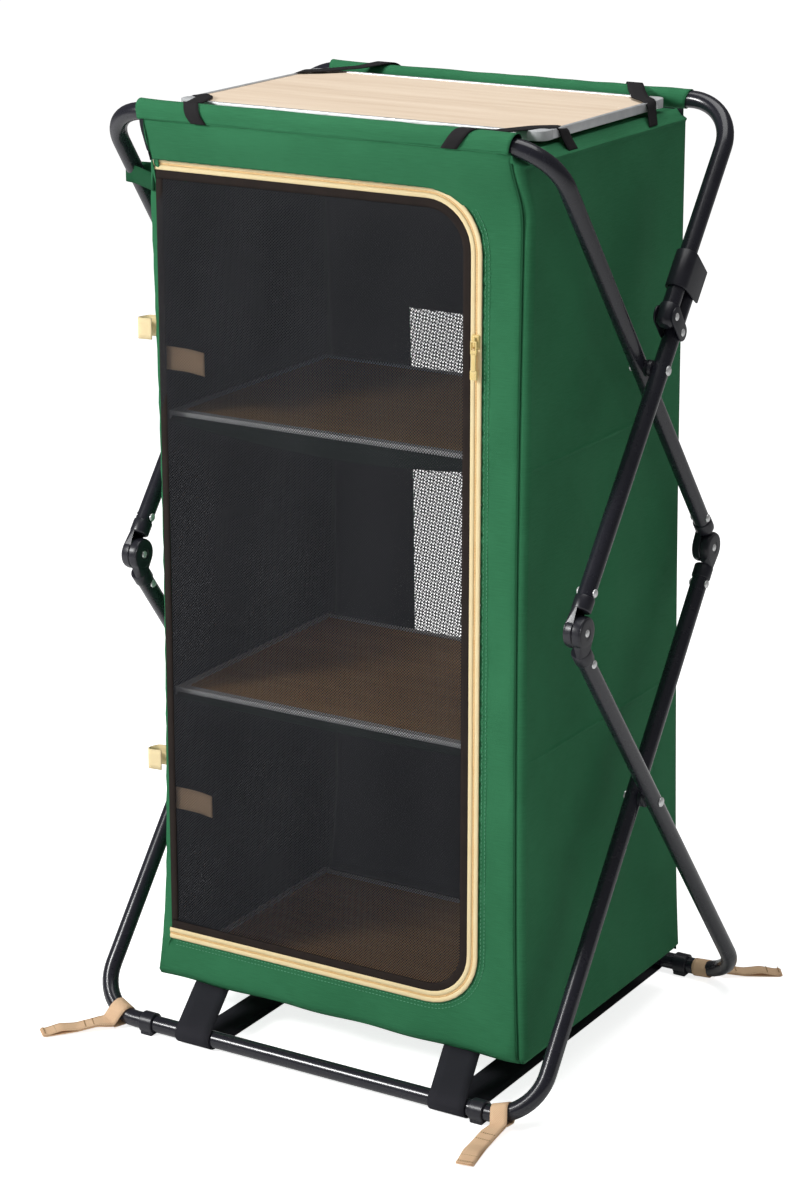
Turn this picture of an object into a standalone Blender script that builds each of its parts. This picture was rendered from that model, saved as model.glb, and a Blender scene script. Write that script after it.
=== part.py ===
"""Folding camping shelf cabinet: a fabric cupboard hung in a frame of four bent tubes.

The frame is two crossed pairs of legs, one above the other, joined at knees. The upper back
bow folds forward over the pair below it, and the whole frame then sinks flat on its shelves.
Metres, +Z up, door towards -Y. The origin is on the ground below the middle of the frame.
"""
import math

import bmesh
import bpy
from mathutils import Matrix, Vector

# Tubes and the side linkage
tube_radius = 0.009
tube_wall = 0.0012
tube_sides_resolution = 5
bend_radius = 0.052
bend_steps = 6
arc_steps = 10
frame_width = 0.524          # between the leg centres of each bow
stagger = 0.023              # the back bows stand this far to the right of the front ones
foot_splay = 0.0075          # how much further out a lower leg stands at its rail than at its knee
link_length = 0.281          # crossing pivot to knee pivot
rest_tilt = math.radians(36.0)
knee_offset = 0.0095         # knee pivot to tube centre line
lower_cross_z = 0.291
top_rail_rise = 0.24433      # upper crossing to the top rails
foot_wall = 0.003
gap = 0.0003
overrun = 0.002
merge_distance = 1e-6

# Knees
knee_disc_radius = 0.0165
knee_neck = 0.0185
tube_end_from_knee = 0.026
knee_plug_length = 0.030
knee_pin_radius = 0.0035
rivet_head_radius = 0.0058
rivet_head = 0.0016
cross_pin_radius = 0.0030
cross_bush_radius = 0.0080
pin_clearance = 0.0003

# Break hinge and lock of the upper back bow
strut_spacing = 0.0225       # between the centres of the tube pair
hinge_up_strut = 0.049       # crossing pivot to the foot of the break hinge, along the strut
clamp_pin_up_strut = 0.043
strut_top = 0.104            # crossing pivot to the top of the strut
tube_past_hinge = 0.006
clamp_plate = 0.0015
clamp_ear_radius = 0.0085
clamp_pin_radius = 0.0028
clamp_head_radius = 0.0042
clamp_head = 0.0012
lock_low = 0.030
lock_length = 0.040
lock_wall = 0.0024
lock_reach = 0.034
lock_hood = 0.012
lock_clearance = 0.0004

# Feet and ground loops
clip_width = 0.012
clip_sole = 0.018
clip_from_leg = 0.063
loop_width = 0.010
loop_wall = 0.0015
loop_from_leg = 0.0505
loop_tail = 0.100
loop_tail_width = 0.018
loop_tail_drop = 0.0004
loop_yaw = math.radians(20.0)

# Cabinet
cabinet_from_leg = 0.042     # side wall to the middle of the legs
front_behind_rail = 0.0185   # front wall to the front top rail
back_before_rail = 0.012     # back wall to the back top rail, at the top
back_low_y = 0.178
cabinet_low = 0.053
cabinet_below_rail = 0.008
cloth = 0.0012
opening_from_left = 0.016
opening_from_right = 0.063
opening_low = 0.106
opening_below_top = 0.052
opening_corner = 0.050
corner_steps = 6
waist_left = 0.008
waist_right = 0.004
wall_wave = 0.004
wall_waves = 5
wall_steps = 12
wall_rows = 4
window_half = 0.113
window_low = 0.300
window_top = 0.739

# Boards
shelf_depth = 0.300
shelf_behind_front = 0.016
shelf_thickness = 0.0085
table_behind_rail = 0.0755   # table edge to the front top rail
table_before_rail = 0.037    # table edge to the back top rail
table_thickness = 0.0125
trim_wall = 0.0012
trim_overlap = 0.009
shelf_tops = {"lower_shelf": 0.375, "upper_shelf": 0.676}

# Door and zip
zip_width = 0.011
zip_thickness = 0.0016
door_thickness = 0.0012
slider_width = 0.010
slider_depth = 0.006
slider_height = 0.014
slider_z = 0.795
pull_width = 0.007
pull_thickness = 0.002
pull_length = 0.036

# Straps and ties
sleeve_wall = 0.0016
sleeve_front_ends = (0.0545, 0.0385)    # left and right end, each from its leg
sleeve_back_ends = (0.0425, 0.0545)
base_strap_width = 0.034
base_strap_from_leg = 0.109
base_strap_shift = -0.005
base_strap_thickness = 0.0013
corner_strap_width = 0.022
corner_strap_thickness = 0.0011
corner_strap_inset = 0.060
tie_heights = {"upper": 0.762, "lower": 0.297}
tie_width = 0.022
tie_loop = 0.030
tie_thickness = 0.0014
tie_hole_share = 0.55

# Worked out from the sizes above
half_width = frame_width / 2
half_cabinet = half_width - cabinet_from_leg
opening_left = opening_from_left - half_cabinet
opening_right = half_cabinet - opening_from_right
clip_from_middle = half_width - clip_from_leg
loop_from_middle = half_width - loop_from_leg
base_strap_from_middle = half_width - base_strap_from_leg
front_shift = -stagger / 2
back_shift = stagger / 2
floor_low = cabinet_low + cloth + gap
floor_top = floor_low + shelf_thickness
tube_tilt = rest_tilt + math.asin(knee_offset / link_length)
rail_low_z = tube_radius + foot_wall
knee_pivot_z = lower_cross_z + link_length * math.cos(rest_tilt)
knee_pivot_y = link_length * math.sin(rest_tilt)
upper_cross_z = knee_pivot_z + link_length * math.cos(rest_tilt)
top_rail_z = upper_cross_z + top_rail_rise
foot_to_cross = math.sqrt(link_length ** 2 - knee_offset ** 2)
lower_run = (lower_cross_z - rail_low_z) / math.cos(tube_tilt)
upper_run = (top_rail_z - upper_cross_z) / math.cos(tube_tilt)
leg_lean = foot_splay / (lower_run + foot_to_cross - bend_radius)
low_rail_y = lower_run * math.sin(tube_tilt)


def yz(y, z):
    """A point or direction in the side view."""
    return Vector((0.0, y, z))


up_back = yz(math.sin(tube_tilt), math.cos(tube_tilt))
up_front = yz(-math.sin(tube_tilt), math.cos(tube_tilt))
strut_side = yz(-math.cos(tube_tilt), math.sin(tube_tilt))
upper_cross = yz(0.0, upper_cross_z)
lower_cross = yz(0.0, lower_cross_z)
break_hinge = upper_cross + up_back * hinge_up_strut + strut_side * strut_spacing
break_run = (top_rail_z - break_hinge.z) / math.cos(tube_tilt)
back_rail = break_hinge + up_back * break_run
front_rail = upper_cross + up_front * upper_run
front_low_rail = lower_cross - up_back * lower_run
back_low_rail = lower_cross - up_front * lower_run
front_knee = yz(-knee_pivot_y, knee_pivot_z)
back_knee = yz(knee_pivot_y, knee_pivot_z)
cabinet_top = top_rail_z - cabinet_below_rail
opening_top = cabinet_top - opening_below_top
front_y = front_rail.y + front_behind_rail
back_top_y = back_rail.y - back_before_rail
shelf_front_y = front_y + shelf_behind_front
table_front_y = front_rail.y + table_behind_rail
table_depth = back_rail.y - table_before_rail - table_front_y


def clear_scene():
    for thing in list(bpy.data.objects):
        bpy.data.objects.remove(thing, do_unlink=True)


def finish(name, colour, roughness, metallic=0.0):
    """One plain Principled material."""
    material = bpy.data.materials.get(name)
    if material:
        return material
    material = bpy.data.materials.new(name)
    material.use_nodes = True
    shader = material.node_tree.nodes["Principled BSDF"]
    shader.inputs["Base Color"].default_value = (*colour, 1.0)
    shader.inputs["Roughness"].default_value = roughness
    shader.inputs["Metallic"].default_value = metallic
    return material


def painted_steel():
    return finish("painted_steel", (0.028, 0.028, 0.036), 0.35, 0.2)


def black_plastic():
    return finish("black_plastic", (0.035, 0.035, 0.042), 0.5)


def bright_steel():
    return finish("bright_steel", (0.72, 0.72, 0.72), 0.3, 1.0)


def green_cloth():
    return finish("green_cloth", (0.036, 0.195, 0.085), 0.85)


def black_net():
    return finish("black_net", (0.018, 0.018, 0.022), 0.8)


def black_webbing():
    return finish("black_webbing", (0.025, 0.025, 0.028), 0.8)


def tan_webbing():
    return finish("tan_webbing", (0.66, 0.38, 0.16), 0.85)


def cream_tape():
    return finish("cream_tape", (0.90, 0.64, 0.30), 0.7)


def pale_board():
    return finish("pale_board", (0.82, 0.66, 0.47), 0.5)


def aluminium():
    return finish("aluminium", (0.78, 0.79, 0.80), 0.32, 1.0)


def new_object(name, mesh, material, pivot=None, sharp=40.0):
    """A named object, with its origin on the axis that it turns or slides on."""
    mesh.name = name
    mesh.materials.clear()
    mesh.materials.append(material)
    mesh.shade_smooth()
    mesh.set_sharp_from_angle(angle=math.radians(sharp))
    thing = bpy.data.objects.new(name, mesh)
    bpy.context.scene.collection.objects.link(thing)
    if pivot is not None:
        mesh.transform(Matrix.Translation(-pivot))
        thing.location = pivot
    return thing


def mesh_from(bm):
    mesh = bpy.data.meshes.new("piece")
    bmesh.ops.remove_doubles(bm, verts=bm.verts, dist=merge_distance)
    bmesh.ops.recalc_face_normals(bm, faces=bm.faces)
    bm.to_mesh(mesh)
    bm.free()
    return mesh


def combine(mesh, others, operation):
    """Cut the other meshes from this one, or join them to it."""
    for other in others:
        base = bpy.data.objects.new("base", mesh)
        tool = bpy.data.objects.new("tool", other)
        for thing in (base, tool):
            bpy.context.scene.collection.objects.link(thing)
        step = base.modifiers.new("shape", "BOOLEAN")
        step.operation = operation
        step.solver = "EXACT"
        step.object = tool
        graph = bpy.context.evaluated_depsgraph_get()
        mesh = bpy.data.meshes.new_from_object(base.evaluated_get(graph))
        bpy.data.objects.remove(base, do_unlink=True)
        bpy.data.objects.remove(tool, do_unlink=True)
    bm = bmesh.new()
    bm.from_mesh(mesh)
    bmesh.ops.dissolve_degenerate(bm, edges=bm.edges, dist=merge_distance)
    return mesh_from(bm)


def cut(mesh, *others):
    return combine(mesh, others, "DIFFERENCE")


def join(mesh, *others):
    return combine(mesh, others, "UNION")


def tube(points, radius):
    """A round bar along the points."""
    curve = bpy.data.curves.new("route", "CURVE")
    curve.dimensions = "3D"
    curve.bevel_depth = radius
    curve.bevel_resolution = tube_sides_resolution
    curve.render_resolution_u = 0
    curve.use_fill_caps = True
    spline = curve.splines.new("POLY")
    spline.points.add(len(points) - 1)
    for place, point in zip(spline.points, points):
        place.co = (*point, 1.0)
    thing = bpy.data.objects.new("route", curve)
    bpy.context.scene.collection.objects.link(thing)
    graph = bpy.context.evaluated_depsgraph_get()
    mesh = bpy.data.meshes.new_from_object(thing.evaluated_get(graph))
    bpy.data.objects.remove(thing, do_unlink=True)
    bm = bmesh.new()
    bm.from_mesh(mesh)
    return mesh_from(bm)


def hollow_tube(points, outer, inner):
    """A tube open at both ends."""
    first = (points[0] - points[1]).normalized() * overrun
    last = (points[-1] - points[-2]).normalized() * overrun
    core = [points[0] + first, *points[1:-1], points[-1] + last]
    return cut(tube(points, outer), tube(core, inner))


def rod(start, end, radius, sides=20):
    """A round bar between two points."""
    axis = end - start
    bm = bmesh.new()
    turn = axis.to_track_quat("Z", "Y").to_matrix().to_4x4()
    place = Matrix.Translation((start + end) / 2) @ turn
    bmesh.ops.create_cone(bm, cap_ends=True, segments=sides, radius1=radius, radius2=radius,
                          depth=axis.length, matrix=place)
    return mesh_from(bm)


def turned(place, direction, profile, sides=20):
    """A pin or bush turned about a line; profile lists steps along it, each with its radius."""
    bm = bmesh.new()
    rim = [bm.verts.new((0.0, 0.0, profile[0][0]))]
    rim += [bm.verts.new((radius, 0.0, along)) for along, radius in profile]
    rim.append(bm.verts.new((0.0, 0.0, profile[-1][0])))
    edges = [bm.edges.new(pair) for pair in zip(rim, rim[1:])]
    bmesh.ops.spin(bm, geom=edges, cent=(0, 0, 0), axis=(0, 0, 1), angle=2 * math.pi,
                   steps=sides, use_merge=True)
    turn = direction.to_track_quat("Z", "Y").to_matrix().to_4x4()
    bmesh.ops.transform(bm, matrix=Matrix.Translation(place) @ turn, verts=bm.verts)
    return mesh_from(bm)


def block(low, high):
    """A box between two corners."""
    bm = bmesh.new()
    bmesh.ops.create_cube(bm, size=1.0)
    size = Vector(high) - Vector(low)
    middle = (Vector(high) + Vector(low)) / 2
    bmesh.ops.scale(bm, vec=size, verts=bm.verts)
    bmesh.ops.translate(bm, vec=middle, verts=bm.verts)
    return mesh_from(bm)


def prism(points, push):
    """A flat outline pushed into a solid."""
    bm = bmesh.new()
    face = bm.faces.new([bm.verts.new(p) for p in points])
    result = bmesh.ops.extrude_face_region(bm, geom=[face])
    moved = [part for part in result["geom"] if isinstance(part, bmesh.types.BMVert)]
    bmesh.ops.translate(bm, vec=push, verts=moved)
    return mesh_from(bm)


def skin(rows, thickness):
    """A curved sheet of even thickness, centred on rows of points."""
    bm = bmesh.new()
    grid = [[bm.verts.new(point) for point in row] for row in rows]
    for low, high in zip(grid, grid[1:]):
        for a, b, c, d in zip(low, low[1:], high[1:], high):
            bm.faces.new((a, b, c, d))
    bmesh.ops.recalc_face_normals(bm, faces=bm.faces)
    mesh = bpy.data.meshes.new("sheet")
    bm.to_mesh(mesh)
    bm.free()
    thing = bpy.data.objects.new("sheet", mesh)
    bpy.context.scene.collection.objects.link(thing)
    wall = thing.modifiers.new("wall", "SOLIDIFY")
    wall.thickness = thickness
    wall.offset = 0.0
    wall.use_even_offset = True
    graph = bpy.context.evaluated_depsgraph_get()
    made = bpy.data.meshes.new_from_object(thing.evaluated_get(graph))
    bpy.data.objects.remove(thing, do_unlink=True)
    bm = bmesh.new()
    bm.from_mesh(made)
    return mesh_from(bm)


def strip(points, across, thickness):
    """A band that follows the points, across wide."""
    return skin([[p - across / 2, p + across / 2] for p in points], thickness)


def bow_points(middle_x, rail, along, reach, splay=0.0):
    """The U of one bent tube: leg, bend, rail, bend, leg. along runs from the rail up a leg."""
    left = middle_x - half_width - splay
    right = middle_x + half_width + splay
    inward = leg_lean * (reach - bend_radius) if splay else 0.0
    flat = [(left + inward, reach)]
    for step in range(bend_steps + 1):
        turn = math.pi / 2 * step / bend_steps
        flat.append((left + bend_radius * (1 - math.cos(turn)),
                     bend_radius * (1 - math.sin(turn))))
    for step in range(bend_steps + 1):
        turn = math.pi / 2 * step / bend_steps
        flat.append((right - bend_radius * (1 - math.sin(turn)),
                     bend_radius * (1 - math.cos(turn))))
    flat.append((right - inward, reach))
    return [Vector((x, 0.0, 0.0)) + rail + along * t for x, t in flat]


def trimmed(points, low_x, high_x):
    """The stretch of a bow between two places across it."""
    inside = [p for p in points if low_x < p.x < high_x]
    before = [p for p in points if p.x <= low_x][-1]
    after = [p for p in points if p.x >= high_x][0]
    first = before.lerp(inside[0], (low_x - before.x) / (inside[0].x - before.x))
    last = inside[-1].lerp(after, (high_x - inside[-1].x) / (after.x - inside[-1].x))
    return [first, *inside, last]


def side_x(side, shift):
    """Centre of a leg: side is -1 for the left, 1 for the right."""
    return shift + side * half_width


def pin_hole(x, place, radius):
    """A cutter for a hole through a leg, from side to side."""
    reach = tube_radius + overrun
    return rod(place + Vector((x - reach, 0, 0)), place + Vector((x + reach, 0, 0)),
               radius + pin_clearance)


def bow(name, shift, rail, along, reach, hole, hole_radius, pivot, splay=0.0):
    """One bent tube with a pin hole in both legs."""
    points = bow_points(shift, rail, along, reach, splay)
    mesh = hollow_tube(points, tube_radius, tube_radius - tube_wall)
    out = leg_lean * foot_to_cross if splay else 0.0
    cutters = [pin_hole(side_x(side, shift) + side * out, hole, hole_radius) for side in (-1, 1)]
    return new_object(name, cut(mesh, *cutters), painted_steel(), pivot)


def make_bows():
    """The four bent tubes; each turns on its own joint."""
    reach_upper = upper_run + foot_to_cross - tube_end_from_knee
    reach_lower = lower_run + foot_to_cross - tube_end_from_knee
    bow("front_upper_bow", front_shift, front_rail, -up_front, reach_upper,
        upper_cross, cross_pin_radius, back_knee)
    bow("front_lower_bow", front_shift, front_low_rail, up_back, reach_lower,
        lower_cross, cross_pin_radius, front_low_rail, foot_splay)
    bow("back_lower_bow", back_shift, back_low_rail, up_front, reach_lower,
        lower_cross, cross_pin_radius, lower_cross, foot_splay)
    bow("back_upper_bow", back_shift, back_rail, -up_back, break_run + tube_past_hinge,
        break_hinge, clamp_pin_radius, break_hinge)


def make_struts():
    """The two straight tubes from the front knees, past the crossing, to the lock."""
    for side, word in ((-1, "left"), (1, "right")):
        x = Vector((side_x(side, back_shift), 0, 0))
        top = x + upper_cross + up_back * strut_top
        end = x + upper_cross - up_back * (foot_to_cross - tube_end_from_knee)
        mesh = hollow_tube([end, top], tube_radius, tube_radius - tube_wall)
        clamp_pin = upper_cross + up_back * clamp_pin_up_strut
        mesh = cut(mesh, pin_hole(x.x, upper_cross, cross_pin_radius),
                   pin_hole(x.x, clamp_pin, clamp_pin_radius))
        new_object("back_strut_" + word, mesh, painted_steel(), front_knee)


def knee_half(name, x, knee, along, outward, inner_side, pinned, pivot, lean=0.0):
    """Half of a knee: a disc of half the tube's width on the pivot, a neck and a plug.

    along runs from the knee up the tube, outward from the pivot to the tube's centre line,
    inner_side is -1 or 1 for the half of the width that the disc fills. lean is how much the
    plug leads sideways.
    """
    centre = Vector((x, 0, 0))
    near = centre + knee + Vector((inner_side * gap / 2, 0, 0))
    far = centre + knee + Vector((inner_side * tube_radius, 0, 0))
    disc = rod(near, far, knee_disc_radius, 28)
    low = outward * (knee_offset - tube_radius)
    high = outward * (knee_offset + tube_radius)
    reach = along * (knee_neck + overrun)
    web = prism([near + low, near + low + reach, near + high + reach, near + high], far - near)
    foot = centre + knee + outward * knee_offset
    route = along + Vector((lean, 0, 0))
    neck = rod(foot + route * knee_neck, foot + route * (tube_end_from_knee - gap), tube_radius, 24)
    plug_end = foot + route * (tube_end_from_knee + knee_plug_length)
    plug = rod(foot + route * (knee_neck + overrun), plug_end, tube_radius - tube_wall - gap)
    mesh = join(disc, web, neck, plug)
    if pinned:
        face = tube_radius + gap
        steps = [(overrun - tube_radius, knee_pin_radius), (face, knee_pin_radius),
                 (face, rivet_head_radius), (face + rivet_head, rivet_head_radius)]
        mesh = join(mesh, turned(centre + knee, Vector((-inner_side, 0, 0)), steps))
    else:
        reach = Vector((tube_radius + overrun, 0, 0))
        middle = centre + knee
        mesh = cut(mesh, rod(middle - reach, middle + reach, knee_pin_radius + pin_clearance))
    return new_object(name, mesh, black_plastic(), pivot)


def make_knees():
    """A pair of halves at each of the four knees; the lower one carries the rivet."""
    for side, word in ((-1, "left"), (1, "right")):
        x = side_x(side, back_shift)
        outward = yz(-math.cos(tube_tilt), math.sin(tube_tilt))
        knee_half("front_knee_upper_" + word, x, front_knee, up_back, outward, -1, False,
                  front_knee)
        outward = yz(-math.cos(tube_tilt), -math.sin(tube_tilt))
        knee_half("front_knee_lower_" + word, x, front_knee, -up_front, outward, 1, True,
                  lower_cross, side * leg_lean)
        x = side_x(side, front_shift)
        outward = yz(math.cos(tube_tilt), math.sin(tube_tilt))
        knee_half("back_knee_upper_" + word, x, back_knee, up_front, outward, -1, False,
                  back_knee)
        outward = yz(math.cos(tube_tilt), -math.sin(tube_tilt))
        knee_half("back_knee_lower_" + word, x, back_knee, -up_back, outward, 1, True,
                  front_low_rail, side * leg_lean)


def make_cross_pins():
    """A shouldered rivet through each crossing; its shoulder keeps the two tubes apart."""
    face = stagger / 2 + tube_radius + gap
    shoulder = stagger / 2 - tube_radius - gap
    steps = [(-face - rivet_head, rivet_head_radius), (-face, rivet_head_radius),
             (-face, cross_pin_radius), (-shoulder, cross_pin_radius),
             (-shoulder, cross_bush_radius), (shoulder, cross_bush_radius),
             (shoulder, cross_pin_radius), (face, cross_pin_radius),
             (face, rivet_head_radius), (face + rivet_head, rivet_head_radius)]
    places = (("upper", upper_cross, half_width, back_knee),
              ("lower", lower_cross, half_width + leg_lean * foot_to_cross, front_low_rail))
    for level, place, out, pivot in places:
        for side, word in ((-1, "left"), (1, "right")):
            middle = place + Vector((side * out, 0, 0))
            mesh = turned(middle, Vector((1, 0, 0)), steps)
            new_object("cross_pin_" + level + "_" + word, mesh, bright_steel(), pivot)


def ear(x, sign, low, high):
    """A clamp plate with round ends over two pins."""
    along = (high - low).normalized()
    outward = along.cross(Vector((1, 0, 0)))
    outline = []
    for centre, start in ((high, 0.0), (low, math.pi)):
        for step in range(corner_steps + 1):
            turn = start + math.pi * step / corner_steps
            spoke = outward * math.cos(turn) + along * math.sin(turn)
            outline.append(Vector((x, 0, 0)) + centre + spoke * clamp_ear_radius)
    shift = Vector((sign * (tube_radius + gap), 0, 0))
    return prism([p + shift for p in outline], Vector((sign * clamp_plate, 0, 0)))


def make_clamps():
    """The two plates and two rivets that join each strut to the upper back bow."""
    low = upper_cross + up_back * clamp_pin_up_strut
    face = tube_radius + gap + clamp_plate
    steps = [(-face - clamp_head, clamp_head_radius), (-face + clamp_plate / 2, clamp_head_radius),
             (-face + clamp_plate / 2, clamp_pin_radius), (face - clamp_plate / 2, clamp_pin_radius),
             (face - clamp_plate / 2, clamp_head_radius), (face + clamp_head, clamp_head_radius)]
    for side, word in ((-1, "left"), (1, "right")):
        x = side_x(side, back_shift)
        mesh = ear(x, -1, low, break_hinge)
        others = [ear(x, 1, low, break_hinge)]
        for place in (low, break_hinge):
            others.append(turned(Vector((x, 0, 0)) + place, Vector((1, 0, 0)), steps))
        new_object("hinge_clamp_" + word, join(mesh, *reversed(others)), painted_steel(),
                   front_knee)


def make_locks():
    """A sliding lock on each leg of the upper back bow, hooded over the strut's top end."""
    bore = tube_radius + lock_clearance
    outer = bore + lock_wall
    for side, word in ((-1, "left"), (1, "right")):
        x = Vector((side_x(side, back_shift), 0, 0))
        low = x + break_hinge + up_back * lock_low
        high = low + up_back * lock_length
        across = Vector((outer, 0, 0))
        back = -strut_side * lock_reach
        cheeks = prism([low - across, low + across, low + across + back, low - across + back],
                       high - low)
        mesh = join(rod(low, high, outer, 28), cheeks)
        over = up_back * overrun
        mesh = cut(mesh, rod(low - over, high + over, bore, 28))
        slot = Vector((bore, 0, 0))
        start = low - over - strut_side * (strut_spacing - tube_radius - lock_clearance)
        deep = -strut_side * lock_reach
        pocket = prism([start - slot, start + slot, start + slot + deep, start - slot + deep],
                       up_back * (lock_length - lock_hood + overrun))
        new_object("sliding_lock_" + word, cut(mesh, pocket), black_plastic(), low)


def make_feet():
    """Ring clips that carry the lower bows on the ground; the rails turn in them."""
    rows = (("front", front_shift, front_low_rail, None),
            ("back", back_shift, back_low_rail, back_low_rail))
    for row, shift, rail, pivot in rows:
        for side, word in ((-1, "left"), (1, "right")):
            middle = Vector((shift + side * clip_from_middle, 0, 0)) + rail
            half = Vector((clip_width / 2, 0, 0))
            over = Vector((overrun, 0, 0))
            ring = rod(middle - half, middle + half, tube_radius + foot_wall, 28)
            sole = yz(clip_sole / 2, 0)
            base = block(middle - half - sole - yz(0, middle.z), middle + half + sole)
            bore = rod(middle - half - over, middle + half + over, tube_radius + gap, 28)
            new_object("foot_clip_" + row + "_" + word, cut(join(ring, base), bore),
                       black_plastic(), pivot)


def make_ground_loops():
    """Webbing loops round the lower rails, with a tail on the ground for a peg."""
    rows = (("front", front_shift, front_low_rail, None, -1),
            ("back", back_shift, back_low_rail, back_low_rail, 1))
    for row, shift, rail, pivot, outward in rows:
        for side, word in ((-1, "left"), (1, "right")):
            middle = Vector((shift + side * loop_from_middle, 0, 0)) + rail
            half = Vector((loop_width / 2, 0, 0))
            across = Vector((loop_tail_width, 0, 0))
            bore = tube_radius + gap
            ring = rod(middle - half, middle + half, bore + loop_wall, 24)
            low = middle.z - bore - loop_wall
            tail = block((-loop_tail_width / 2, 0.0, -loop_tail_drop),
                         (loop_tail_width / 2, loop_tail, loop_wall - loop_tail_drop))
            yaw = loop_yaw * side * -outward + (math.pi if outward < 0 else 0.0)
            out = side * (loop_tail_width - loop_width) / 2
            tail.transform(Matrix.Translation((middle.x + out, middle.y, low))
                           @ Matrix.Rotation(yaw, 4, "Z"))
            mesh = cut(join(ring, tail), rod(middle - across, middle + across, bore, 24))
            new_object("ground_loop_" + row + "_" + word, mesh, tan_webbing(), pivot)


def height_share(z):
    return (z - cabinet_low) / (cabinet_top - cabinet_low)


def back_y(z):
    """The back wall leans: it is deeper at the bottom."""
    return back_low_y + (back_top_y - back_low_y) * height_share(z)


def wall_x(side, z):
    """Outer face of a side wall, drawn in at the waist between the rails and the floor."""
    waist = {-1: waist_left, 1: waist_right}[side]
    return side * (half_cabinet - waist * math.sin(math.pi * height_share(z)))


def wall_spans():
    """The stretches of wall between one board's seam and the next."""
    stops = [floor_top]
    for top in sorted(shelf_tops.values()):
        stops += [top - shelf_thickness, top]
    stops.append(cabinet_top)
    return list(zip(stops[::2], stops[1::2]))


def wall_levels():
    levels = [cabinet_low]
    for low, high in wall_spans():
        levels += [low + (high - low) * step / wall_rows for step in range(wall_rows + 1)]
    return levels


def hollow_at(z):
    """How far the cloth sinks in between two seams, as a share of its deepest."""
    for low, high in wall_spans():
        if low <= z <= high:
            return math.sin(math.pi * (z - low) / (high - low))
    return 0.0


def inner_span(low, high):
    """Where a board between two heights meets the side walls, less its clearance."""
    left = max(wall_x(-1, z) for z in (low, high)) + cloth + gap
    right = min(wall_x(1, z) for z in (low, high)) - cloth - gap
    return left, right


def rounded(low_x, high_x, low_z, high_z, corner, y):
    """An outline in the front plane; its right corners are round, its left ones square."""
    points = [Vector((low_x, y, high_z)), Vector((low_x, y, low_z))]
    for centre_z, start in ((low_z + corner, -math.pi / 2), (high_z - corner, 0.0)):
        for step in range(corner_steps + 1):
            turn = start + math.pi / 2 * step / corner_steps
            points.append(Vector((high_x - corner + corner * math.cos(turn), y,
                                  centre_z + corner * math.sin(turn))))
    return points


def waisted(inset, place):
    """An upright outline between the side walls; place gives the point for an x and a z."""
    levels = wall_levels()
    left = [place(wall_x(-1, z) + inset, z) for z in levels]
    right = [place(wall_x(1, z) - inset, z) for z in levels]
    return left + right[::-1]


def make_side_walls():
    """The two sides, with the wave that the cloth has where it hangs between its seams."""
    front = front_y + cloth + gap
    for side, word in ((-1, "left"), (1, "right")):
        rows = []
        for z in wall_levels():
            row = []
            for step in range(wall_steps + 1):
                share = step / wall_steps
                hollow = wall_wave * math.sin(math.pi * share) * hollow_at(z)
                crease = math.sin(wall_waves * math.pi * share)
                x = wall_x(side, z) - side * (cloth / 2 + hollow * (1 + crease) / 2)
                row.append(Vector((x, front + (back_y(z) - front) * share, z)))
            rows.append(row)
        new_object("side_wall_" + word, skin(rows, cloth), green_cloth())


def make_back():
    """The back wall and the net window in it."""
    push = Vector((0, cloth, 0))

    def on_back(x, z):
        return Vector((x, back_y(z) - cloth, z))

    wall = prism(waisted(cloth + gap * 2, on_back), push)
    corners = ((-window_half, window_low), (window_half, window_low),
               (window_half, window_top), (-window_half, window_top))
    through = Vector((0, overrun, 0))
    hole = prism([on_back(x, z) - through for x, z in corners], push + through * 2)
    new_object("back_wall", cut(wall, hole), green_cloth())
    half = window_half - gap
    corners = ((-half, window_low + gap), (half, window_low + gap),
               (half, window_top - gap), (-half, window_top - gap))
    new_object("back_window_net", prism([on_back(x, z) for x, z in corners], push), black_net())


def make_front():
    """The front wall round the door opening."""
    def on_front(x, z):
        return Vector((x, front_y, z))

    front = prism(waisted(0.0, on_front), Vector((0, cloth, 0)))
    door_hole = rounded(opening_left, opening_right, opening_low, opening_top, opening_corner,
                        front_y - overrun)
    front = cut(front, prism(door_hole, Vector((0, cloth + 2 * overrun, 0))))
    new_object("front_wall", front, green_cloth())


def make_cloth_walls():
    """The sewn box: two sides, back with its window net, front, top and bottom."""
    make_side_walls()
    make_back()
    make_front()
    edge = half_cabinet - cloth - gap
    for name, low in (("bottom_cloth", cabinet_low), ("top_cloth", cabinet_top - cloth)):
        high = low + cloth
        back_edge = min(back_y(low), back_y(high)) - cloth - gap
        panel = block((-edge, front_y + cloth + gap, low), (edge, back_edge, high))
        new_object(name, panel, green_cloth())


def make_board(name, low, thickness, sides, front, depth, pivot):
    """A board in a thin metal edge that folds over its top and bottom rims."""
    low_corner = Vector((sides[0], front, low))
    high_corner = Vector((sides[1], front + depth, low + thickness))
    rim = Vector((1, 1, 1)) * (trim_wall + gap)
    wood = block(low_corner + rim, high_corner - rim)
    new_object(name + "_board", wood, pale_board(), pivot)
    frame = block(low_corner, high_corner)
    window = Vector((trim_overlap, trim_overlap, -overrun))
    through = block(low_corner + window, high_corner - window)
    wall = Vector((1, 1, 1)) * trim_wall
    groove = block(low_corner + wall, high_corner - wall)
    new_object(name + "_edge", cut(frame, through, groove), aluminium(), pivot)


def make_boards():
    """The floor, two shelves and the table top."""
    make_board("floor", floor_low, shelf_thickness, inner_span(cabinet_low, floor_top),
               shelf_front_y, shelf_depth, None)
    for name, top in shelf_tops.items():
        low = top - shelf_thickness
        make_board(name, low, shelf_thickness, inner_span(low, top), shelf_front_y,
                   shelf_depth, yz(0.0, top))
    make_board("table", cabinet_top + gap, table_thickness, (-half_cabinet, half_cabinet),
               table_front_y, table_depth, yz(0.0, cabinet_top))


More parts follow.
